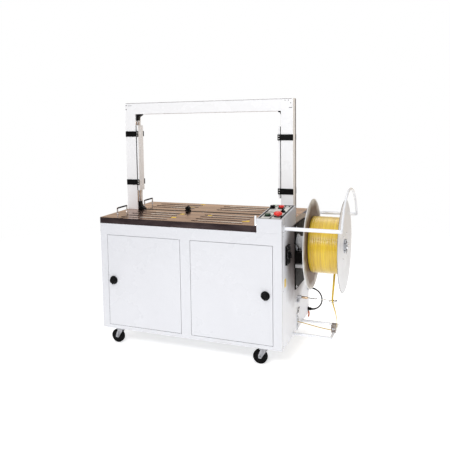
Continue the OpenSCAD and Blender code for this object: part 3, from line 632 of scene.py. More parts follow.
for material, node in [(material, node) for material, nodes in FINISHES for node in nodes.split()]:
    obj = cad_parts[node]
    obj.data.materials.clear()
    obj.data.materials.append(material)
    weld = obj.modifiers.new("weld", "WELD")
    weld.merge_threshold = 0.00001
    bevel = obj.modifiers.new("edge", "BEVEL")
    bevel.width = EDGE.get(node, 0.6) / 1000
    bevel.segments = 2
    bevel.limit_method = "ANGLE"
    bevel.angle_limit = math.radians(38)
    bevel.harden_normals = False
    bevel.miter_outer = "MITER_ARC"
    normals = obj.modifiers.new("normals", "WEIGHTED_NORMAL")
    normals.keep_sharp = True
    for poly in obj.data.polygons:
        poly.use_smooth = True


# ---- reel ---------------------------------------------------------------------------------------

def helix_band(bm, x0, x1, lead, radius, start_angle, seed):
    """One layer of strap wound round the reel's axis, from x0 to x1."""
    steps, half = 72, 6.0                       # points in a turn, half the strap's width
    turns = abs(x1 - x0) / lead
    n = int(turns * steps)
    rings = []
    shape = [(-half, -1.2), (-half, -0.25), (-half + 0.35, 0.0), (-half * 0.4, 0.06), (half * 0.4, 0.06),
             (half - 0.35, 0.0), (half, -0.25), (half, -1.2)]
    for i in range(n + 1):
        turn = i / steps
        a = start_angle - math.copysign(2 * math.pi, x1 - x0) * (turns - turn)
        x = x0 + (x1 - x0) * turn / turns
        where = Vector((turn * 1.7 + seed, math.cos(a) * 0.4, math.sin(a) * 0.4))
        slip = noise.noise(where * 1.3) * 1.1
        lift = noise.noise(where * 2.1 + Vector((7, 3, 1))) * 0.75
        tilt = noise.noise(where * 1.7 + Vector((2, 9, 4))) * 0.05
        ring = []
        for along, height in shape:
            r = radius + lift + height + tilt * along
            ring.append(bm.verts.new(P(x + slip + along, REEL_Y + r * math.cos(a), REEL_Z + r * math.sin(a))))
        rings.append(ring)
    for a, b in zip(rings, rings[1:]):
        for k in range(len(shape) - 1):
            bm.faces.new((a[k], a[k + 1], b[k + 1], b[k]))


def winding():
    bm = bmesh.new()
    helix_band(bm, 1189.4, 1347.4, 12.25, 155.6, 1.1, 3.0)
    helix_band(bm, 1347.4, 1189.4, 12.6, 156.6, 2.4, 8.0)
    helix_band(bm, 1189.6, 1289.0, 12.45, 157.5, 0.0, 15.0)
    bmesh.ops.recalc_face_normals(bm, faces=bm.faces)
    for f in bm.faces:
        f.smooth = True
    # the core under the turns takes the strap's darker copy, painted shade in the gaps
    core = bmesh.new()
    skin(core, [[core.verts.new(P(x, y, z)) for y, z in circle(REEL_Y, REEL_Z, r, 96)] for x, r in (
        (1182.4, 101), (1182.4, 150), (1183.8, 154.6), (1353.2, 154.6), (1354.6, 150), (1354.6, 101))])
    bmesh.ops.recalc_face_normals(core, faces=core.faces)
    join(bm, core, 1)
    obj = mesh_object("strap_coil", bm, [STRAP, STRAP_GAP_SHADE], 45)
    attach(obj, "reel")
    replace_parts(obj, "strap_winding")


winding()

flange = Kit("outer_flange_disc", "reel", [REEL, CHROME, SHADE_LINE], "reel_paint")
flange.lathe((1356, REEL_Y, REEL_Z), RIGHT, [
    (0, 12.6), (0, 100), (0.5, 103), (0.5, 238), (-0.6, 246), (-0.6, 250), (0.4, 253.6), (1.6, 254.9),
    (2.8, 253.9), (3.0, 251), (2.6, 248.2), (2.8, 238), (3, 150), (2.3, 145), (2.3, 118), (3, 112),
    (3, 12.6)], 0, 128, close=True)
for y, z in circle(REEL_Y, REEL_Z, 86, 4, 45):
    flange.screw((1358.9, y, z), RIGHT, 5, 1, 2.4)
# the rim's edge band is painted shade
flange.lathe((1356, REEL_Y, REEL_Z), RIGHT, [(0.6, 253.8), (0.6, 255.3), (2.4, 255.3), (2.4, 253.8)], 2, 128,
             close=True)
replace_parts(flange.done(), "outer_flange")

inner = Kit("inner_flange_rim", "reel", [REEL, CHROME], "reel_paint")
inner.lathe((1178, REEL_Y, REEL_Z), RIGHT, [
    (-0.8, 249), (-0.9, 252.5), (0.2, 254.6), (1.5, 255.2), (2.8, 254.6), (3.9, 252.5), (3.8, 249),
    (3.0, 247.6), (0.0, 247.6)], 0, 128, close=True)
inner.lathe((1178, REEL_Y, REEL_Z), RIGHT, [
    (-1.2, 112), (0.1, 109), (0.1, 120), (-1.2, 117)], 0, 96, close=True)
for y, z in circle(REEL_Y, REEL_Z, 76, 6, 15):
    inner.bolt((1178, y, z), LEFT, 4.5, 1, 3)
inner.done()

lock = Kit("hub_lock_wheel", "reel", [ZINC, DARK, CHROME, REEL], "dark_steel")
lock.lathe((1359, REEL_Y, REEL_Z), RIGHT, [
    (0.2, 12.6), (0.2, 34), (1.2, 37.2), (3.4, 38.4), (6.6, 38.4), (8.8, 37.2), (9.6, 34.6), (8.6, 32.6),
    (5.6, 31.4), (5.2, 21), (7.4, 19), (8.4, 16.5), (8.4, 12.6)], 3, 72, close=True)
lock.lathe((1359, REEL_Y, REEL_Z), RIGHT, [
    (8.7, 34.8), (9.7, 34.8), (9.7, 36.6), (8.7, 37.0)], 1, 72, close=True)
lock.lathe((1359, REEL_Y, REEL_Z), RIGHT, [
    (5.2, 20.8), (8.8, 18.0), (9.2, 18.0), (9.2, 19.4), (5.4, 23.4)], 1, 72, close=True)
lock.lathe((1359, REEL_Y, REEL_Z), RIGHT, [
    (5.3, 20), (6.0, 20.4), (6.4, 25), (6.4, 28), (5.8, 31.2), (5.2, 31)], 0, 72, close=True)
lock.lathe((1366, REEL_Y, REEL_Z), RIGHT, [
    (0, 17), (8, 17), (9.6, 16.2), (10.6, 14.4), (10.6, 6.4), (9.4, 5.6), (9.4, 0)], 2, 48)
for k in range(6):
    a = math.radians(60 * k)
    lock.pin((1364.8, REEL_Y + 26 * math.cos(a), REEL_Z + 26 * math.sin(a)), RIGHT, 2.6, 3.2, 1, 0.8)
    y, z = REEL_Y + 37.6 * math.cos(a + 0.5), REEL_Z + 37.6 * math.sin(a + 0.5)
    lock.box((1360.5, y - 2, z - 2), (1367.5, y + 2, z + 2), 0.9, 1)
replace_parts(lock.done(), "hub_lock")

brake = Kit("reel_brake_details", "frame", [ZINC, BLACK, CHROME, REEL], "dark_steel")
for y, z in ((299, 372), (299, 711), (526, 372), (526, 711)):
    brake.bolt((1096, y, z), RIGHT, 5, 2)
brake.lathe((1096, REEL_Y, REEL_Z), RIGHT, [(0, 52), (4, 52), (6, 50), (6, 41), (0, 41)], 3, 64)
for y, z in circle(REEL_Y, REEL_Z, 46, 6, 20):
    brake.bolt((1101.5, y, z), RIGHT, 2.8, 2, 2.4)
brake.lathe((1147, REEL_Y, REEL_Z), RIGHT, [(0, 41), (0.6, 41.6), (3.4, 41.6), (4, 41)], 0, 56)
brake.lathe((1142, 299, 542), RIGHT, [(0, 15), (3, 14.6), (4.4, 13), (4.4, 0)], 1, 40)
for dy in (-15, 15):
    for dz in (-24, 24):
        brake.screw((1142, 299 + dy, 542 + dz), RIGHT, 2.4, 2, 1.2)
brake.tube(smooth_route([(1112, 296, 571), (1112, 294, 586), (1108, 284, 606), (1100, 276, 622),
                         (1091, 272, 626)]), 3, 1)
brake.pin((1160, 292, 503), TOP, 38, 3, 2)
brake.tube([(1160 + 6 * math.sin(k * 0.7), 292 + 6 * math.cos(k * 0.7), 505 + k * 0.42) for k in range(60)],
           1.1, 0, 8)
brake.bolt((1160, 292, 531), TOP, 5, 2, 4)
brake.done()


# ---- casters ------------------------------------------------------------------------------------

for side, cx in (("left", 95), ("right", 982)):
    for end, cy in (("front", 57), ("rear", 603)):
        base = f"{end}_{side}"
        ax = cx - 28
        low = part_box(f"{base}_wheel")
        half = (low[1].y - low[0].y) * 500
        wheel = Kit(f"{base}_tyre", f"{base}_wheel", [RUBBER, BLACK], "black_rubber")
        r = 40
        wheel.lathe((ax, cy, r), BACK, [
            (-half + 1, 26.5), (-half + 0.2, 28), (-half + 0.2, 35), (-half + 1.6, 38), (-half + 4, r - 0.15),
            (-2.2, r), (-1.6, r - 1.1), (1.6, r - 1.1), (2.2, r), (half - 4, r - 0.15), (half - 1.6, 38),
            (half - 0.2, 35), (half - 0.2, 28), (half - 1, 26.5)], 0, 72, close=True)
        wheel.lathe((ax, cy, r), BACK, [
            (-half + 1.4, 26.6), (-half + 3.6, 24), (-half + 3.8, 15), (-half + 0.6, 12.5), (-half, 11),
            (-half, 5.6), (half, 5.6), (half, 11), (half - 0.6, 12.5), (half - 3.8, 15), (half - 3.6, 24),
            (half - 1.4, 26.6)], 1, 56, close=True)
        for s in (-1, 1):
            for x, z in circle(ax, r, 19.5, 5):
                wheel.pin((x, cy + s * (half - 3.4), z), (0, s, 0), 1.2, 3.0, 1, 0.5)
            wheel.lathe((ax, cy + s * (half - 0.1), r), (0, s, 0), [
                (0, 10.5), (0.5, 10.2), (0.6, 6.2), (0, 5.8)], 1, 40, close=True)
        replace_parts(wheel.done(), f"{base}_wheel")
        fork = Kit(f"{base}_fork_details", f"{base}_fork", [FORK, ZINC], "chrome")
        fork.lathe((cx, cy, 84.2), TOP, [(0, 24.4), (2, 26.2), (5.4, 26.2), (7.4, 24.4)], 0, 56)
        for s in (-1, 1):
            fork.bolt((ax, cy + s * (half + 8.0), r), (0, s, 0), 4.2, 1, 3.2)
        fork.done()
        race = Kit(f"{base}_race", "frame", [CHROME, ZINC], "chrome")
        race.lathe((cx, cy, 92.4), TOP, [(0, 20), (0.4, 22.5), (2, 24.4), (5, 24.4), (7.6, 27), (9.5, 27.2)],
                   0, 56)
        for dx in (-28, 28):
            for dy in (-22, 22):
                race.bolt((cx + dx, cy + dy, 102), BOTTOM, 4.4, 1, 3)
        race.done()


# ---- doors, latches and cabinet -----------------------------------------------------------------

for side, lx, door in (("left", 82, "left_door"), ("right", 1001, "right_door")):
    grip = Kit(f"{side}_latch_grip", f"{side}_latch", [BLACK, CHROME], "black_plastic")
    grip.lathe((lx, 0, LATCH_Z), FRONT, [
        (0.4, 8), (0.4, 24), (2.0, 24.6), (5.4, 24.4), (7.4, 23), (8.2, 20.4), (8.2, 19.2), (9.4, 19),
        (19, 17.6), (22.4, 15.8), (23.8, 12.6), (24, 6.6), (23.4, 5.8), (23.4, 0)], 0, 64)
    for s in (-1, 1):
        mid = LATCH_Z + s * 13
        grip.box((lx - 2.6, -23.9, mid - 8), (lx + 2.6, -8.5, mid + 8), 1.6, 0)
    grip.lathe((lx, -23.0, LATCH_Z), FRONT, [(0, 5.6), (0.5, 5.4), (0.8, 4.6), (0.8, 0)], 0, 32)
    grip.pin((lx, 0.2, LATCH_Z), BACK, 10, 7.9, 1)
    grip.box((lx - 6, 6, 370), (lx + 6, 9, 400), 1.0, 1)
    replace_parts(grip.done(), f"{side}_latch")
    inside = Kit(f"{side}_door_lining", door, [INSIDE, ZINC, CHROME], "white_paint")
    x0, x1, px = (47, 510, 503) if side == "left" else (574, 1040, 581)
    for z in (300, 505):
        inside.box((x0 + 40, 2.2, z), (x1 - 40, 7.5, z + 36), 1.6, 0)
    inside.bolt((lx, 9.2, LATCH_Z), BACK, 6, 2, 2.6)
    for z in (140, 640):
        inside.box((px - 5, 2.3, z - 10), (px + 5, 4.4, z + 10), 0.6, 1)
    inside.done()

sides = Kit("side_details", "frame", [CHROME, STICKER, BLACK, ZINC, BRIGHT, ORANGE], "zinc_steel")
sides.box((CAB_W, 54, 432), (1090.4, 88, 476), 0.15, 1)
sides.lathe((CAB_W, 365, 216), RIGHT, [(0, 7), (3, 6.4), (5, 5), (5, 0)], 2, 24)
sides.box((1092, 344, 213), (1096, 386, 220), 1.6, 2, (24, "X"))
sides.box((1092, 352, 208), (1096, 380, 224), 1.4, 4, (-35, "X"))
for y in (312, 380):
    for z in (114, 194):
        sides.screw((CAB_W, y, z), RIGHT, 3.6, 0)
sides.box((CAB_W, 338, 268), (1104, 350, 282), 1.6, 3)
sides.bolt((1097, 344, 282), TOP, 2.8, 0, 2.0)
for y, z in ((24, 122), (24, 712), (636, 122), (636, 712), (636, 420), (24, 420)):
    sides.screw((CAB_W, y, z), RIGHT, 3.6, 0)
boot = [(1092, 640, 119), (1095, 640, 114), (1096, 639, 104), (1095, 637, 92), (1094, 636, 84)]
sides.tube(smooth_route(boot), 4.5, 5)
for low, high in ((109, 118), (122, 126), (130, 148), (154, 158), (164, 176), (184, 196)):
    sides.box((1095, 327.2, low), (1095.5, 333.2, high), 0.2, 2)
sides.done()

back = Kit("rear_details", "frame", [CHROME], "white_paint")
for x in (24, 380, 710, 1066):
    for z in (122, 700):
        back.screw((x, 660, z), BACK, 4.2, 0, 0.3)
back.done()


# ---- table --------------------------------------------------------------------------------------

def stickers(name, body, places):
    kit = Kit(name, body, [STICKER], "polished_steel")
    for x, y, w, d, turn in places:
        kit.box((x - w / 2, y - d / 2, 765.0), (x + w / 2, y + d / 2, 765.35), 0.15, 0, (turn, "Z"))
    kit.done()


stickers("front_plate_stickers", "front_plate", [(425, 114, 30, 30, 4), (424, 234, 30, 26, -3),
                                                 (860, 117, 40, 34, 2), (601, 235, 26, 24, 6)])
stickers("rear_plate_stickers", "rear_plate", [(371, 517, 34, 26, -2), (399, 622, 30, 24, 5)])

for side, y0, y1, body in (("front", 135, 247, "front_plate"), ("rear", 480, 592, "rear_plate")):
    grip = Kit(f"{side}_handle_grip", body, [BLACK, LEG], "black_plastic")
    n = 22
    pts = [(38, y0 + 6 + (y1 - y0 - 12) * k / n, 799) for k in range(n + 1)]
    grip.tube(pts, 4.8, 0, 20, [4.3 if k in (0, n) else 4.85 - (0.25 if k % 2 else 0) for k in range(n + 1)])
    for y in (y0, y1):
        grip.lathe((38, y, 765), TOP, [(0, 8.5), (1.2, 8.3), (2.0, 6.4), (2.4, 4.6), (27, 4.3), (29.4, 4.1)],
                   1, 32)
    grip.done()

stop = Kit("side_stop_sleeve", "front_plate", [GUARD, CHROME], "polished_steel")
stop.box((943.4, 3.4, 766), (953.6, 10.6, 817.6), 1.4, 0)
stop.box((940, 0.8, 764.9), (953.8, 24, 767.2), 0.8, 1)
stop.done()

deck = Kit("deck_details", "frame", [CHROME, SLOT_SHADE], "polished_steel")
for x in (122, 330, 520, 730, 930):
    for y in (325.5, 384.5):
        if not (370 < x < 450 and y > 340):
            deck.screw((x, y, 764.9), TOP, 4.2, 0, 0.7)
# strips either side of the strap slot in the slot's painted-shade colour
for y0, y1 in ((330, 338.9), (353.1, 362)):
    deck.box((108, y0, 764.6), (947, y1, 765.3), 0.3, 1)
for x in (968, 1078):
    for y in (410, 520, 640):
        deck.screw((x, y, 764.9), TOP, 4.2, 0, 0.7)
deck.done()

anvil = Kit("anvil_details", "anvil", [BLACK], "black_plastic")
for dx in (-11, 11):
    anvil.screw((400 + dx, 384.5, 768.2), TOP, 2.8, 0, 1.4)
anvil.lathe((400, 358.8, 779), FRONT, [(0, 5), (1.0, 4.7), (1.4, 3.6), (0.8, 2.6), (0.8, 0)], 0, 28)
anvil.done()


# ---- arch ---------------------------------------------------------------------------------------

liners = Kit("track_liners", "frame", [LINER], "bright_steel")
for inner, s, low in ((75, 1, 886), (1005, -1, 868)):
    for z0, z1 in ((812, low - 1.5), (low + 411.5, 1316)):
        lo, hi = sorted((inner, inner + s * 1.8))
        for y0, y1 in ((325, 337.4), (354.6, 367)):
            liners.box((lo, y0, z0), (hi, y1, z1), 0.5, 0)
for y0, y1 in ((330, 337.4), (354.6, 362)):
    liners.box((132, y0, 1363.4), (972, y1, 1365), 0.4, 0)
liners.done()

rods = Kit("gate_hinge_rods", "frame", [BLACK], "black_plastic")
for x, low in ((77.6, 886), (1002.4, 868)):
    for y in (325, 385):
        rods.pin((x, y, low + 1), TOP, 408, 2.3, 0, 0.6)
rods.done()

clamps = Kit("clamp_screws", "frame", [IVORY, BLACK], "black_plastic")
for outer, heights in (((16, 62, 86), (922, 1225)), ((1018, 1064, 994), (892, 1199))):
    for z in heights:
        for sy, y in ((-1, 317), (1, 393)):
            for dz in (10, 24):
                clamps.screw((outer[2], y, z + dz), (0, sy, 0), 3.0, 0, 1.6)
            for x in outer[:2]:
                clamps.screw((x, y, z + 17), (0, sy, 0), 3.4, 1, 1.4)
clamps.done()

trim = Kit("arch_details", "frame", [SHADE_LINE, CHROME, DARK], "black_plastic")
# dark strip on the right column's side face: painted shade
trim.box((1074.7, 373, 800), (1075.6, 389, 1433), 0.3, 0)
# dark line along the beam's top front edge: painted shade
trim.box((12, 319.5, 1431.4), (1068, 320.3, 1433.2), 0.2, 0)
for x, z in ((12, 1420), (12, 1395)):
    trim.lathe((x, 320, z), FRONT, [(0, 3.4), (0.8, 3.2), (0.9, 1.6), (0.5, 1.4), (0.5, 0)], 2, 20)
for x, z in ((1030, 1424), (1050, 1424), (1062, 1408)):
    trim.lathe((x, 320, z), FRONT, [(0, 2.6), (0.8, 2.4), (0.9, 1.4), (0.5, 1.2), (0.5, 0)], 2, 20)
trim.box((24, 319.3, 1417), (50, 320.2, 1419), 0.3, 2)
trim.box((1052, 319.3, 1381), (1070, 320.2, 1384), 0.3, 2)
for x, y in ((40, 355), (1040, 355), (75, 333), (1005, 333), (75, 377), (1005, 377)):
    trim.lathe((x, y, 1435), TOP, [(0, 5), (0.25, 4.8), (0.25, 2.2), (-0.4, 2.0), (-0.4, 0)], 1, 20)
trim.done()

guides = Kit("guide_screws", "frame", [DARK], "black_plastic")
for x, z in ((83, 1357), (98, 1360), (83, 1342), (998, 1359), (84, 775), (102, 769)):
    guides.screw((x, 331, z), FRONT, 2.2, 0, 1.0)
guides.done()


# ---- console ------------------------------------------------------------------------------------

SLOPE = math.atan(29 / 318)
UP = (0, -math.sin(SLOPE), math.cos(SLOPE))
EMERGENCY, STOP, START = (1056, 60), (1028, 238), (998, 66)
TENSION, SELECTOR = (980, 228), (1056, 161)


def console_point(x, y, lift=0.0):
    return (x, y - lift * math.sin(SLOPE), 803 + y * math.tan(SLOPE) + lift * math.cos(SLOPE))


def console_box(kit, x0, x1, y0, y1, low, high, r, mat):
    """A thin block lying on the console's slope."""
    mid = console_point((x0 + x1) / 2, (y0 + y1) / 2, (low + high) / 2)
    sx, sy, sz = (x1 - x0) / 2, (y1 - y0) / 2 / math.cos(SLOPE), (high - low) / 2
    kit.box((mid[0] - sx, mid[1] - sy, mid[2] - sz), (mid[0] + sx, mid[1] + sy, mid[2] + sz), r, mat,
            (math.degrees(SLOPE), "X"))


panel = Kit("console_graphics", "frame", [BLACK, CHROME, DARK, GLOW], "panel_grey")
X0, X1, Y0, Y1 = 962, 1084, 8, 309.8
for a, b, c, d in ((X0, X0 + 10, Y0, Y1), (X1 - 9, X1, Y0, Y1), (X0, X1, Y0, Y0 + 5), (X0, X1, Y1 - 12, Y1)):
    console_box(panel, a, b, c, d, 1.4, 2.1, 0.3, 0)
for a, b, c, d in ((1021, 1028, Y0 + 4, 140), (X0 + 6, X1 - 6, 138, 150), (X0 + 6, X1 - 6, 266, 274)):
    console_box(panel, a, b, c, d, 1.4, 1.9, 0.2, 0)
console_box(panel, 980, 1016, 46, 86, 1.4, 2.7, 0.5, 0)
for (x, y), r, collar in ((STOP, 21, 1.2), (EMERGENCY, 24, 2.4)):
    panel.lathe(console_point(x, y, 1.4), UP, [(0, r), (1.6, r), (2.6, r - 1.4), (2.6, 12)], 0, 48)
    panel.lathe(console_point(x, y, 2.6), UP, [
        (0, 14.5), (collar - 0.4, 14.2), (collar, 13.2), (collar, 11.4)], 1, 48)
for x, y in (TENSION, SELECTOR):
    panel.lathe(console_point(x, y, 1.3), UP, [(0, 15.4), (0.4, 15.2), (0.4, 13.4)], 2, 48)
    for k in range(11):
        a = math.radians(-150 + 30 * k)
        px, py = x + 17.4 * math.sin(a), y + 17.4 * math.cos(a)
        console_box(panel, px - 0.6, px + 0.6, py - 1.4, py + 1.4, 1.4, 1.75, 0.15, 0)
panel.lathe(console_point(984, 284, 1.4), UP, [(0, 8), (2.4, 7.6), (2.6, 6.4)], 1, 36)
panel.lathe(console_point(984, 284, 1.4), UP, [(0, 6.3), (3.4, 6.0), (5.2, 4.2), (5.8, 0)], 3, 36)
for x in (1040, 1062):
    panel.lathe(console_point(x, 284, 1.4), UP, [(0, 5), (1.6, 4.8), (3.0, 3.2), (3.4, 0)], 0, 28)
for x in (968, 1078):
    for y in (14, 304):
        panel.screw(console_point(x, y, 2.0), UP, 2.6, 1, 1.0)
panel.done()

emergency_cap = Kit("emergency_cap", "emergency_button", [RED, IVORY], "red_plastic")
emergency_cap.lathe(console_point(*EMERGENCY, 12), UP, [
    (0, 14), (0.2, 21.4), (2.4, 22.7), (7.5, 22.8), (10.6, 21.8), (14.0, 17.2), (16.0, 14.6), (17.2, 9.0),
    (17.6, 0)], 0, 64)
for k in range(3):
    a0 = math.radians(120 * k)
    emergency_cap.tube([console_point(EMERGENCY[0] + 12 * math.cos(a0 + j * 0.16),
                                      EMERGENCY[1] + 12 * math.sin(a0 + j * 0.16), 28.6) for j in range(7)],
                       0.7, 1, 8)
emergency_cap.done()
stop_cap = Kit("stop_cap", "stop_button", [RED], "red_plastic")
stop_cap.lathe(console_point(*STOP, 9), UP, [
    (0, 11), (0.3, 14.6), (1.6, 15.4), (6.2, 15.5), (7.9, 14.4), (8.6, 12.2), (7.9, 9.5), (7.6, 0)], 0, 56)
stop_cap.done()
go = Kit("start_cap", "start_button", [GREEN], "green_plastic")
go.lathe(console_point(*START, 7.4), UP, [(0, 12.6), (0.3, 15.1), (1.4, 15.6), (5.4, 15.6), (6.8, 14.6),
                                           (7.2, 13), (6.8, 10.4), (6.75, 0)], 0, 56)
go.done()
knob = Kit("tension_knob_details", "tension_knob", [BLACK, IVORY], "black_plastic")
for x, y in circle(*TENSION, 11.9, 20):
    knob.pin(console_point(x, y, 8.0), UP, 9.4, 1.05, 0, 0.5, 10)
console_box(knob, 979.2, 980.8, 229, 238, 17.8, 18.3, 0.15, 1)
knob.done()
selector = Kit("selector_details", "mode_selector", [BLACK, IVORY], "black_plastic")
console_box(selector, 1055.1, 1056.9, 164, 172, 16.6, 17.3, 0.15, 1)
selector.lathe(console_point(*SELECTOR, 6.6), UP, [(0, 13.1), (0.6, 12.6), (1.4, 10.5), (1.4, 0)], 0, 48)
selector.done()

switch = Kit("main_switch_details", "frame", [BLACK, CHROME], "black_plastic")
switch.lathe((1098.8, SWITCH_Y, SWITCH_Z), RIGHT, [(0, 25), (0.5, 24.6), (0.5, 20)], 1, 64)
for dy in (-31, 31):
    for dz in (-43, 43):
        switch.screw((1098.6, SWITCH_Y + dy, SWITCH_Z + dz), RIGHT, 3.2, 1, 1.2)
switch.box((1089.6, 73, 545), (1092, 153, 649), 1.0, 0)
switch.done()
lever = Kit("main_switch_mark", "main_switch_knob", [IVORY, BLACK], "black_plastic")
lever.box((1113.7, 112.2, 602), (1114.3, 113.8, 610), 0.25, 0)
lever.lathe((1099.7, SWITCH_Y, SWITCH_Z), RIGHT, [
    (0, 17.2), (0.7, 17.5), (2.0, 17.5), (2.7, 16.6), (3.0, 15)], 1, 56)
lever.done()


# ---- strap guides -------------------------------------------------------------------------------

lower = Kit("lower_guide_details", "frame", [CHROME, GUARD, BRACKET], "bright_steel")
for y in (243, 465):
    lower.lathe((CAB_W, y, 117), RIGHT, [(0, 15), (2.4, 15), (3.4, 14), (4.4, 8.4), (6, 7.4)], 1, 40)
    lower.screw((1094, y - 11, 117), RIGHT, 2.2, 0, 1)
    lower.screw((1094, y + 11, 117), RIGHT, 2.2, 0, 1)
for y, s in ((322, -1), (370, 1)):
    lower.bolt((ROLLER_X, y, ROLLER_Z), (0, s, 0), 4.6, 0, 3)
for y in (325.4, 366.6):
    lower.box((1287, y - 0.3, 118), (1313, y + 0.3, 161.4), 0.2, 2)
lower.box((1288, 325.8, 158.2), (1312, 366.2, 161.0), 0.8, 2)
for y in (53, 629):
    lower.lathe((CAB_W, y, GUARD_Z), RIGHT, [(0, 19), (3.2, 19), (4.4, 17.8), (5.2, 11.2), (7, 10.1)], 1, 48)
    lower.lathe((1376, y, GUARD_Z), RIGHT, [(0, 10.05), (3, 10.4), (6, 9.6), (8.4, 7.0)], 1, 48)
for y in (326, 366):
    for z in (112, 196):
        lower.screw((1095, y + (4 if y < 340 else -4), z), RIGHT, 2.6, 0, 1.2)
lower.done()

roll = Kit("guide_roller_details", "guide_roller", [IVORY], "roller_plastic")
for s in (-1, 1):
    roll.lathe((ROLLER_X, STRAP_Y + s * 8.2, ROLLER_Z), (0, s, 0), [
        (0, 14.1), (0.6, 15.6), (6.6, 15.6), (8.0, 14.4), (8.1, 3.4)], 0, 48)
roll.done()

arm = Kit("guide_arm_details", "guide_arm", [BRASS, DARK, CHROME], "bright_steel")
arm.lathe((1113.4, ARM_Y, ARM_Z), RIGHT, [(0, 6.05), (0.3, 6.5), (2.2, 6.9), (27, 6.9), (29, 6.5), (32, 6.0),
                                            (36, 2.3)], 0, 40)
arm.tube([(1152 + k * 0.55, ARM_Y + 3.6 * math.cos(k * 0.9), ARM_Z + 3.6 * math.sin(k * 0.9))
          for k in range(80)], 0.6, 1, 8)
arm.lathe((1198, ARM_Y, ARM_Z), RIGHT, [(0, 2.3), (0.2, 4.6), (4.8, 4.6), (5.2, 2.3)], 2, 32)
arm.lathe((1304, ARM_Y, ARM_Z), RIGHT, [(0, 2.3), (0.6, 3.6), (8.2, 3.6), (9.4, 2.6), (9.4, 0)], 1, 28)
for x in (1283.4, 1291.4):
    arm.box((x, 362.4, 286.2), (x + 3.2, 371.6, 293.8), 0.6, 1)
arm.done()


# ---- units inside the cabinet -------------------------------------------------------------------

unit = Kit("sealing_head_details", "frame", [CHROME, BRIGHT, BRASS], "dark_steel")
for k in range(5):
    for z in (590, 650):
        unit.bolt((376 + 38 * k, 302, z), FRONT, 5, 0)
for x in (390, 430, 470, 510):
    unit.box((x - 9, 298, 606), (x + 9, 302.4, 636), 1.2, 1)
for x in (356, 556):
    unit.bolt((x, 318, 700.4), TOP, 4, 0, 1.5)
for x in (349.6, 562.4):
    s = -1 if x < 400 else 1
    unit.lathe((x, CAM_Y, CAM_Z), (s, 0, 0), [(0, 24), (5, 24), (6.4, 22.4), (6.4, 13)], 2, 48)
    for y, z in circle(CAM_Y, CAM_Z, 18.4, 4, 45):
        unit.screw((x + s * 6.2, y, z), (s, 0, 0), 2.4, 0, 1.2)
unit.done()

feed = Kit("feed_details", "frame", [GREY, BLACK, CHROME], "machine_grey")
for k in range(9):
    feed.lathe((FEED_X, 404 + 10 * k, FEED_Z), BACK, [
        (0, 42), (0, 45), (0.6, 45.4), (2.6, 45.4), (3.2, 45), (3.2, 42)], 0, 64)
feed.lathe((FEED_X, 496, FEED_Z), BACK, [(0, 44), (10, 44), (16, 41), (18, 34), (18, 8), (16, 0)], 1, 64)
feed.box((682, 412, 598), (722, 466, 626), 3, 1)
for dx, dz in ((-48, 40), (48, 40), (-48, -36), (48, -36)):
    feed.bolt((FEED_X + dx, 362, FEED_Z + dz), FRONT, 4, 2)
feed.lathe((632, CAM_Y, CAM_Z), RIGHT, [(0, 40), (52, 40), (56, 38), (66, 38), (70, 34), (72, 0)], 0, 56)
for y, z in circle(CAM_Y, CAM_Z, 36, 4, 45):
    feed.bolt((600, y, z), LEFT, 3.6, 2, 2.6)
feed.done()

tyre = Kit("feed_roller_details", "feed_roller", [RUBBER, CHROME], "black_rubber")
for x, z in circle(FEED_X, FEED_Z, 30.0, 36):
    tyre.box((x - 0.7, 338.6, z - 0.7), (x + 0.7, 353.4, z + 0.7), 0.3, 0, None, 1)
tyre.lathe((FEED_X, 337.9, FEED_Z), FRONT, [(0, 20), (0.8, 19.4), (0.8, 9), (3.4, 8), (3.4, 0)], 1, 40)
tyre.done()

cabinet = Kit("control_box_details", "frame", [INSIDE, BLACK, RUBBER], "machine_grey")
cabinet.box((98, 556.4, 228), (322, 560.2, 552), 1.6, 0)
for z in (250, 530):
    cabinet.lathe((312, 556.4, z), FRONT, [(0, 8), (2, 7.6), (3, 6), (3, 1.4), (1.6, 1.2), (1.6, 0)], 1, 28)
for row in range(7):
    cabinet.box((128, 555.0, 262 + 9 * row), (208, 556.8, 266 + 9 * row), 0.8, 1)
for k in range(4):
    cabinet.lathe((130 + 48 * k, 600, 220), BOTTOM, [(0, 9), (3, 9), (4, 8), (9, 7.6), (11, 6), (11, 0)], 1,
                  6)
    cabinet.tube(smooth_route([(130 + 48 * k, 600, 212), (130 + 48 * k, 600, 190), (136 + 44 * k, 596, 168),
                               (180 + 30 * k, 590, 152), (300 + 20 * k, 585 - 9 * k, 146),
                               (430, 580 - 10 * k, 145), (560, 560 - 10 * k, 145)], 5), 3.6, 2, 10)
cabinet.done()


# ---- floor, light, world ------------------------------------------------------------------------

# name, place, aim, width and height in metres, watts
LAMPS = (("key", (-1.2, -3.2, 2.2), (0.0, 0.0, 0.6), (1.6, 1.6), 1),
         ("fill", (2.9, -1.9, 1.5), (0.3, 0, 0.6), (1.4, 1.4), 4),
         ("top", (0.2, -0.2, 3.4), (0.1, 0, 0.7), (2.2, 2.2), 8),
         ("back", (0.3, 2.0, 3.2), (0.1, 0, 0.6), (1.6, 1.6), 12),
         ("strip", (0.04, -3.0, 2.25), (0.57, 0, 0.65), (0.8, 0.6), 42))
WALL_TINT, FAR_WALL_TINT = (0.49, 0.42, 0.375, 1), (0.80, 0.68, 0.53, 1)    # low behind the machine


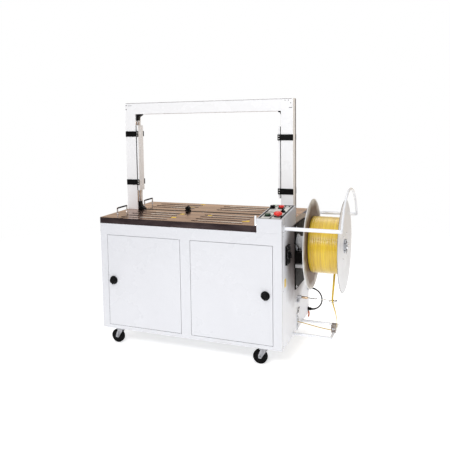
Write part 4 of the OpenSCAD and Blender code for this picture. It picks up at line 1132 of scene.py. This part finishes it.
def make_floor():
    bm = bmesh.new()
    bmesh.ops.create_circle(bm, cap_ends=True, radius=14, segments=96)
    f = Finish("floor_white")
    f.colour(f.mix(f.ramp(f.noise(0.8), 0.3, 0.7), (0.90, 0.90, 0.90, 1), (0.93, 0.93, 0.93, 1)))
    f.set("Roughness", 0.8)
    f.set("Specular IOR Level", 0.1)
    f.set("Emission Color", (1, 1, 1, 1))
    f.set("Emission Strength", 0.5)
    away = f.maths("POWER", add(f.t, "ShaderNodeVectorMath", {"operation": "LENGTH"},
                                i0=f.here).outputs["Value"], 2.0)
    clear = add(f.t, "ShaderNodeBsdfTransparent")
    join = add(f.t, "ShaderNodeMixShader", i0=f.ramp(away, 2.2, 16.0), i1=f.b.outputs[0], i2=clear.outputs[0])
    f.t.links.new(join.outputs[0], f.t.nodes["Material Output"].inputs["Surface"])
    mesh_object("floor", bm, [f.m])


def make_world():
    world = bpy.data.worlds.new("studio")
    scene.world = world
    world.use_nodes = True
    t = world.node_tree
    direction = add(t, "ShaderNodeTexCoord").outputs["Generated"]
    xyz = add(t, "ShaderNodeSeparateXYZ", Vector=direction)
    room = add(t, "ShaderNodeMapRange", Value=xyz.outputs[2], From_Min=0.1, From_Max=0.9, To_Min=0.43,
               To_Max=0.78)
    rear = add(t, "ShaderNodeMapRange", Value=xyz.outputs[1], From_Min=-0.1, From_Max=0.3)
    low = add(t, "ShaderNodeMapRange", Value=xyz.outputs[2], From_Min=0.62, From_Max=0.38)
    wall = add(t, "ShaderNodeMath", {"operation": "MULTIPLY"}, i0=rear.outputs[0], i1=low.outputs[0])
    far = add(t, "ShaderNodeMapRange", Value=xyz.outputs[2], From_Min=0.205, From_Max=0.165)
    tint = add(t, "ShaderNodeMix", {"data_type": "RGBA"}, i0=far.outputs[0], i6=WALL_TINT, i7=FAR_WALL_TINT)
    lit = add(t, "ShaderNodeMix", {"data_type": "RGBA"}, i0=wall.outputs[0], i6=room.outputs[0],
              i7=tint.outputs[2])
    # the camera sees plain white, and only the machine sees the room
    seen = add(t, "ShaderNodeLightPath").outputs["Is Camera Ray"]
    tone = add(t, "ShaderNodeMix", {"data_type": "RGBA"}, i0=seen, i6=lit.outputs[2], i7=(1, 1, 1, 1))
    t.links.new(tone.outputs[2], t.nodes["Background"].inputs["Color"])
    t.nodes["Background"].inputs["Strength"].default_value = 1.0


def make_lamps():
    for name, where, aim, (width, height), power in LAMPS:
        lamp = bpy.data.lights.new(name, "AREA")
        lamp.size = width
        if height != width:
            lamp.shape, lamp.size_y = "RECTANGLE", height
        lamp.energy = power
        obj = bpy.data.objects.new(name, lamp)
        obj.location = where
        obj.rotation_euler = (Vector(aim) - Vector(where)).to_track_quat("-Z", "Y").to_euler()
        scene.collection.objects.link(obj)


make_floor()
make_world()
make_lamps()
scene.view_settings.view_transform = "Standard"
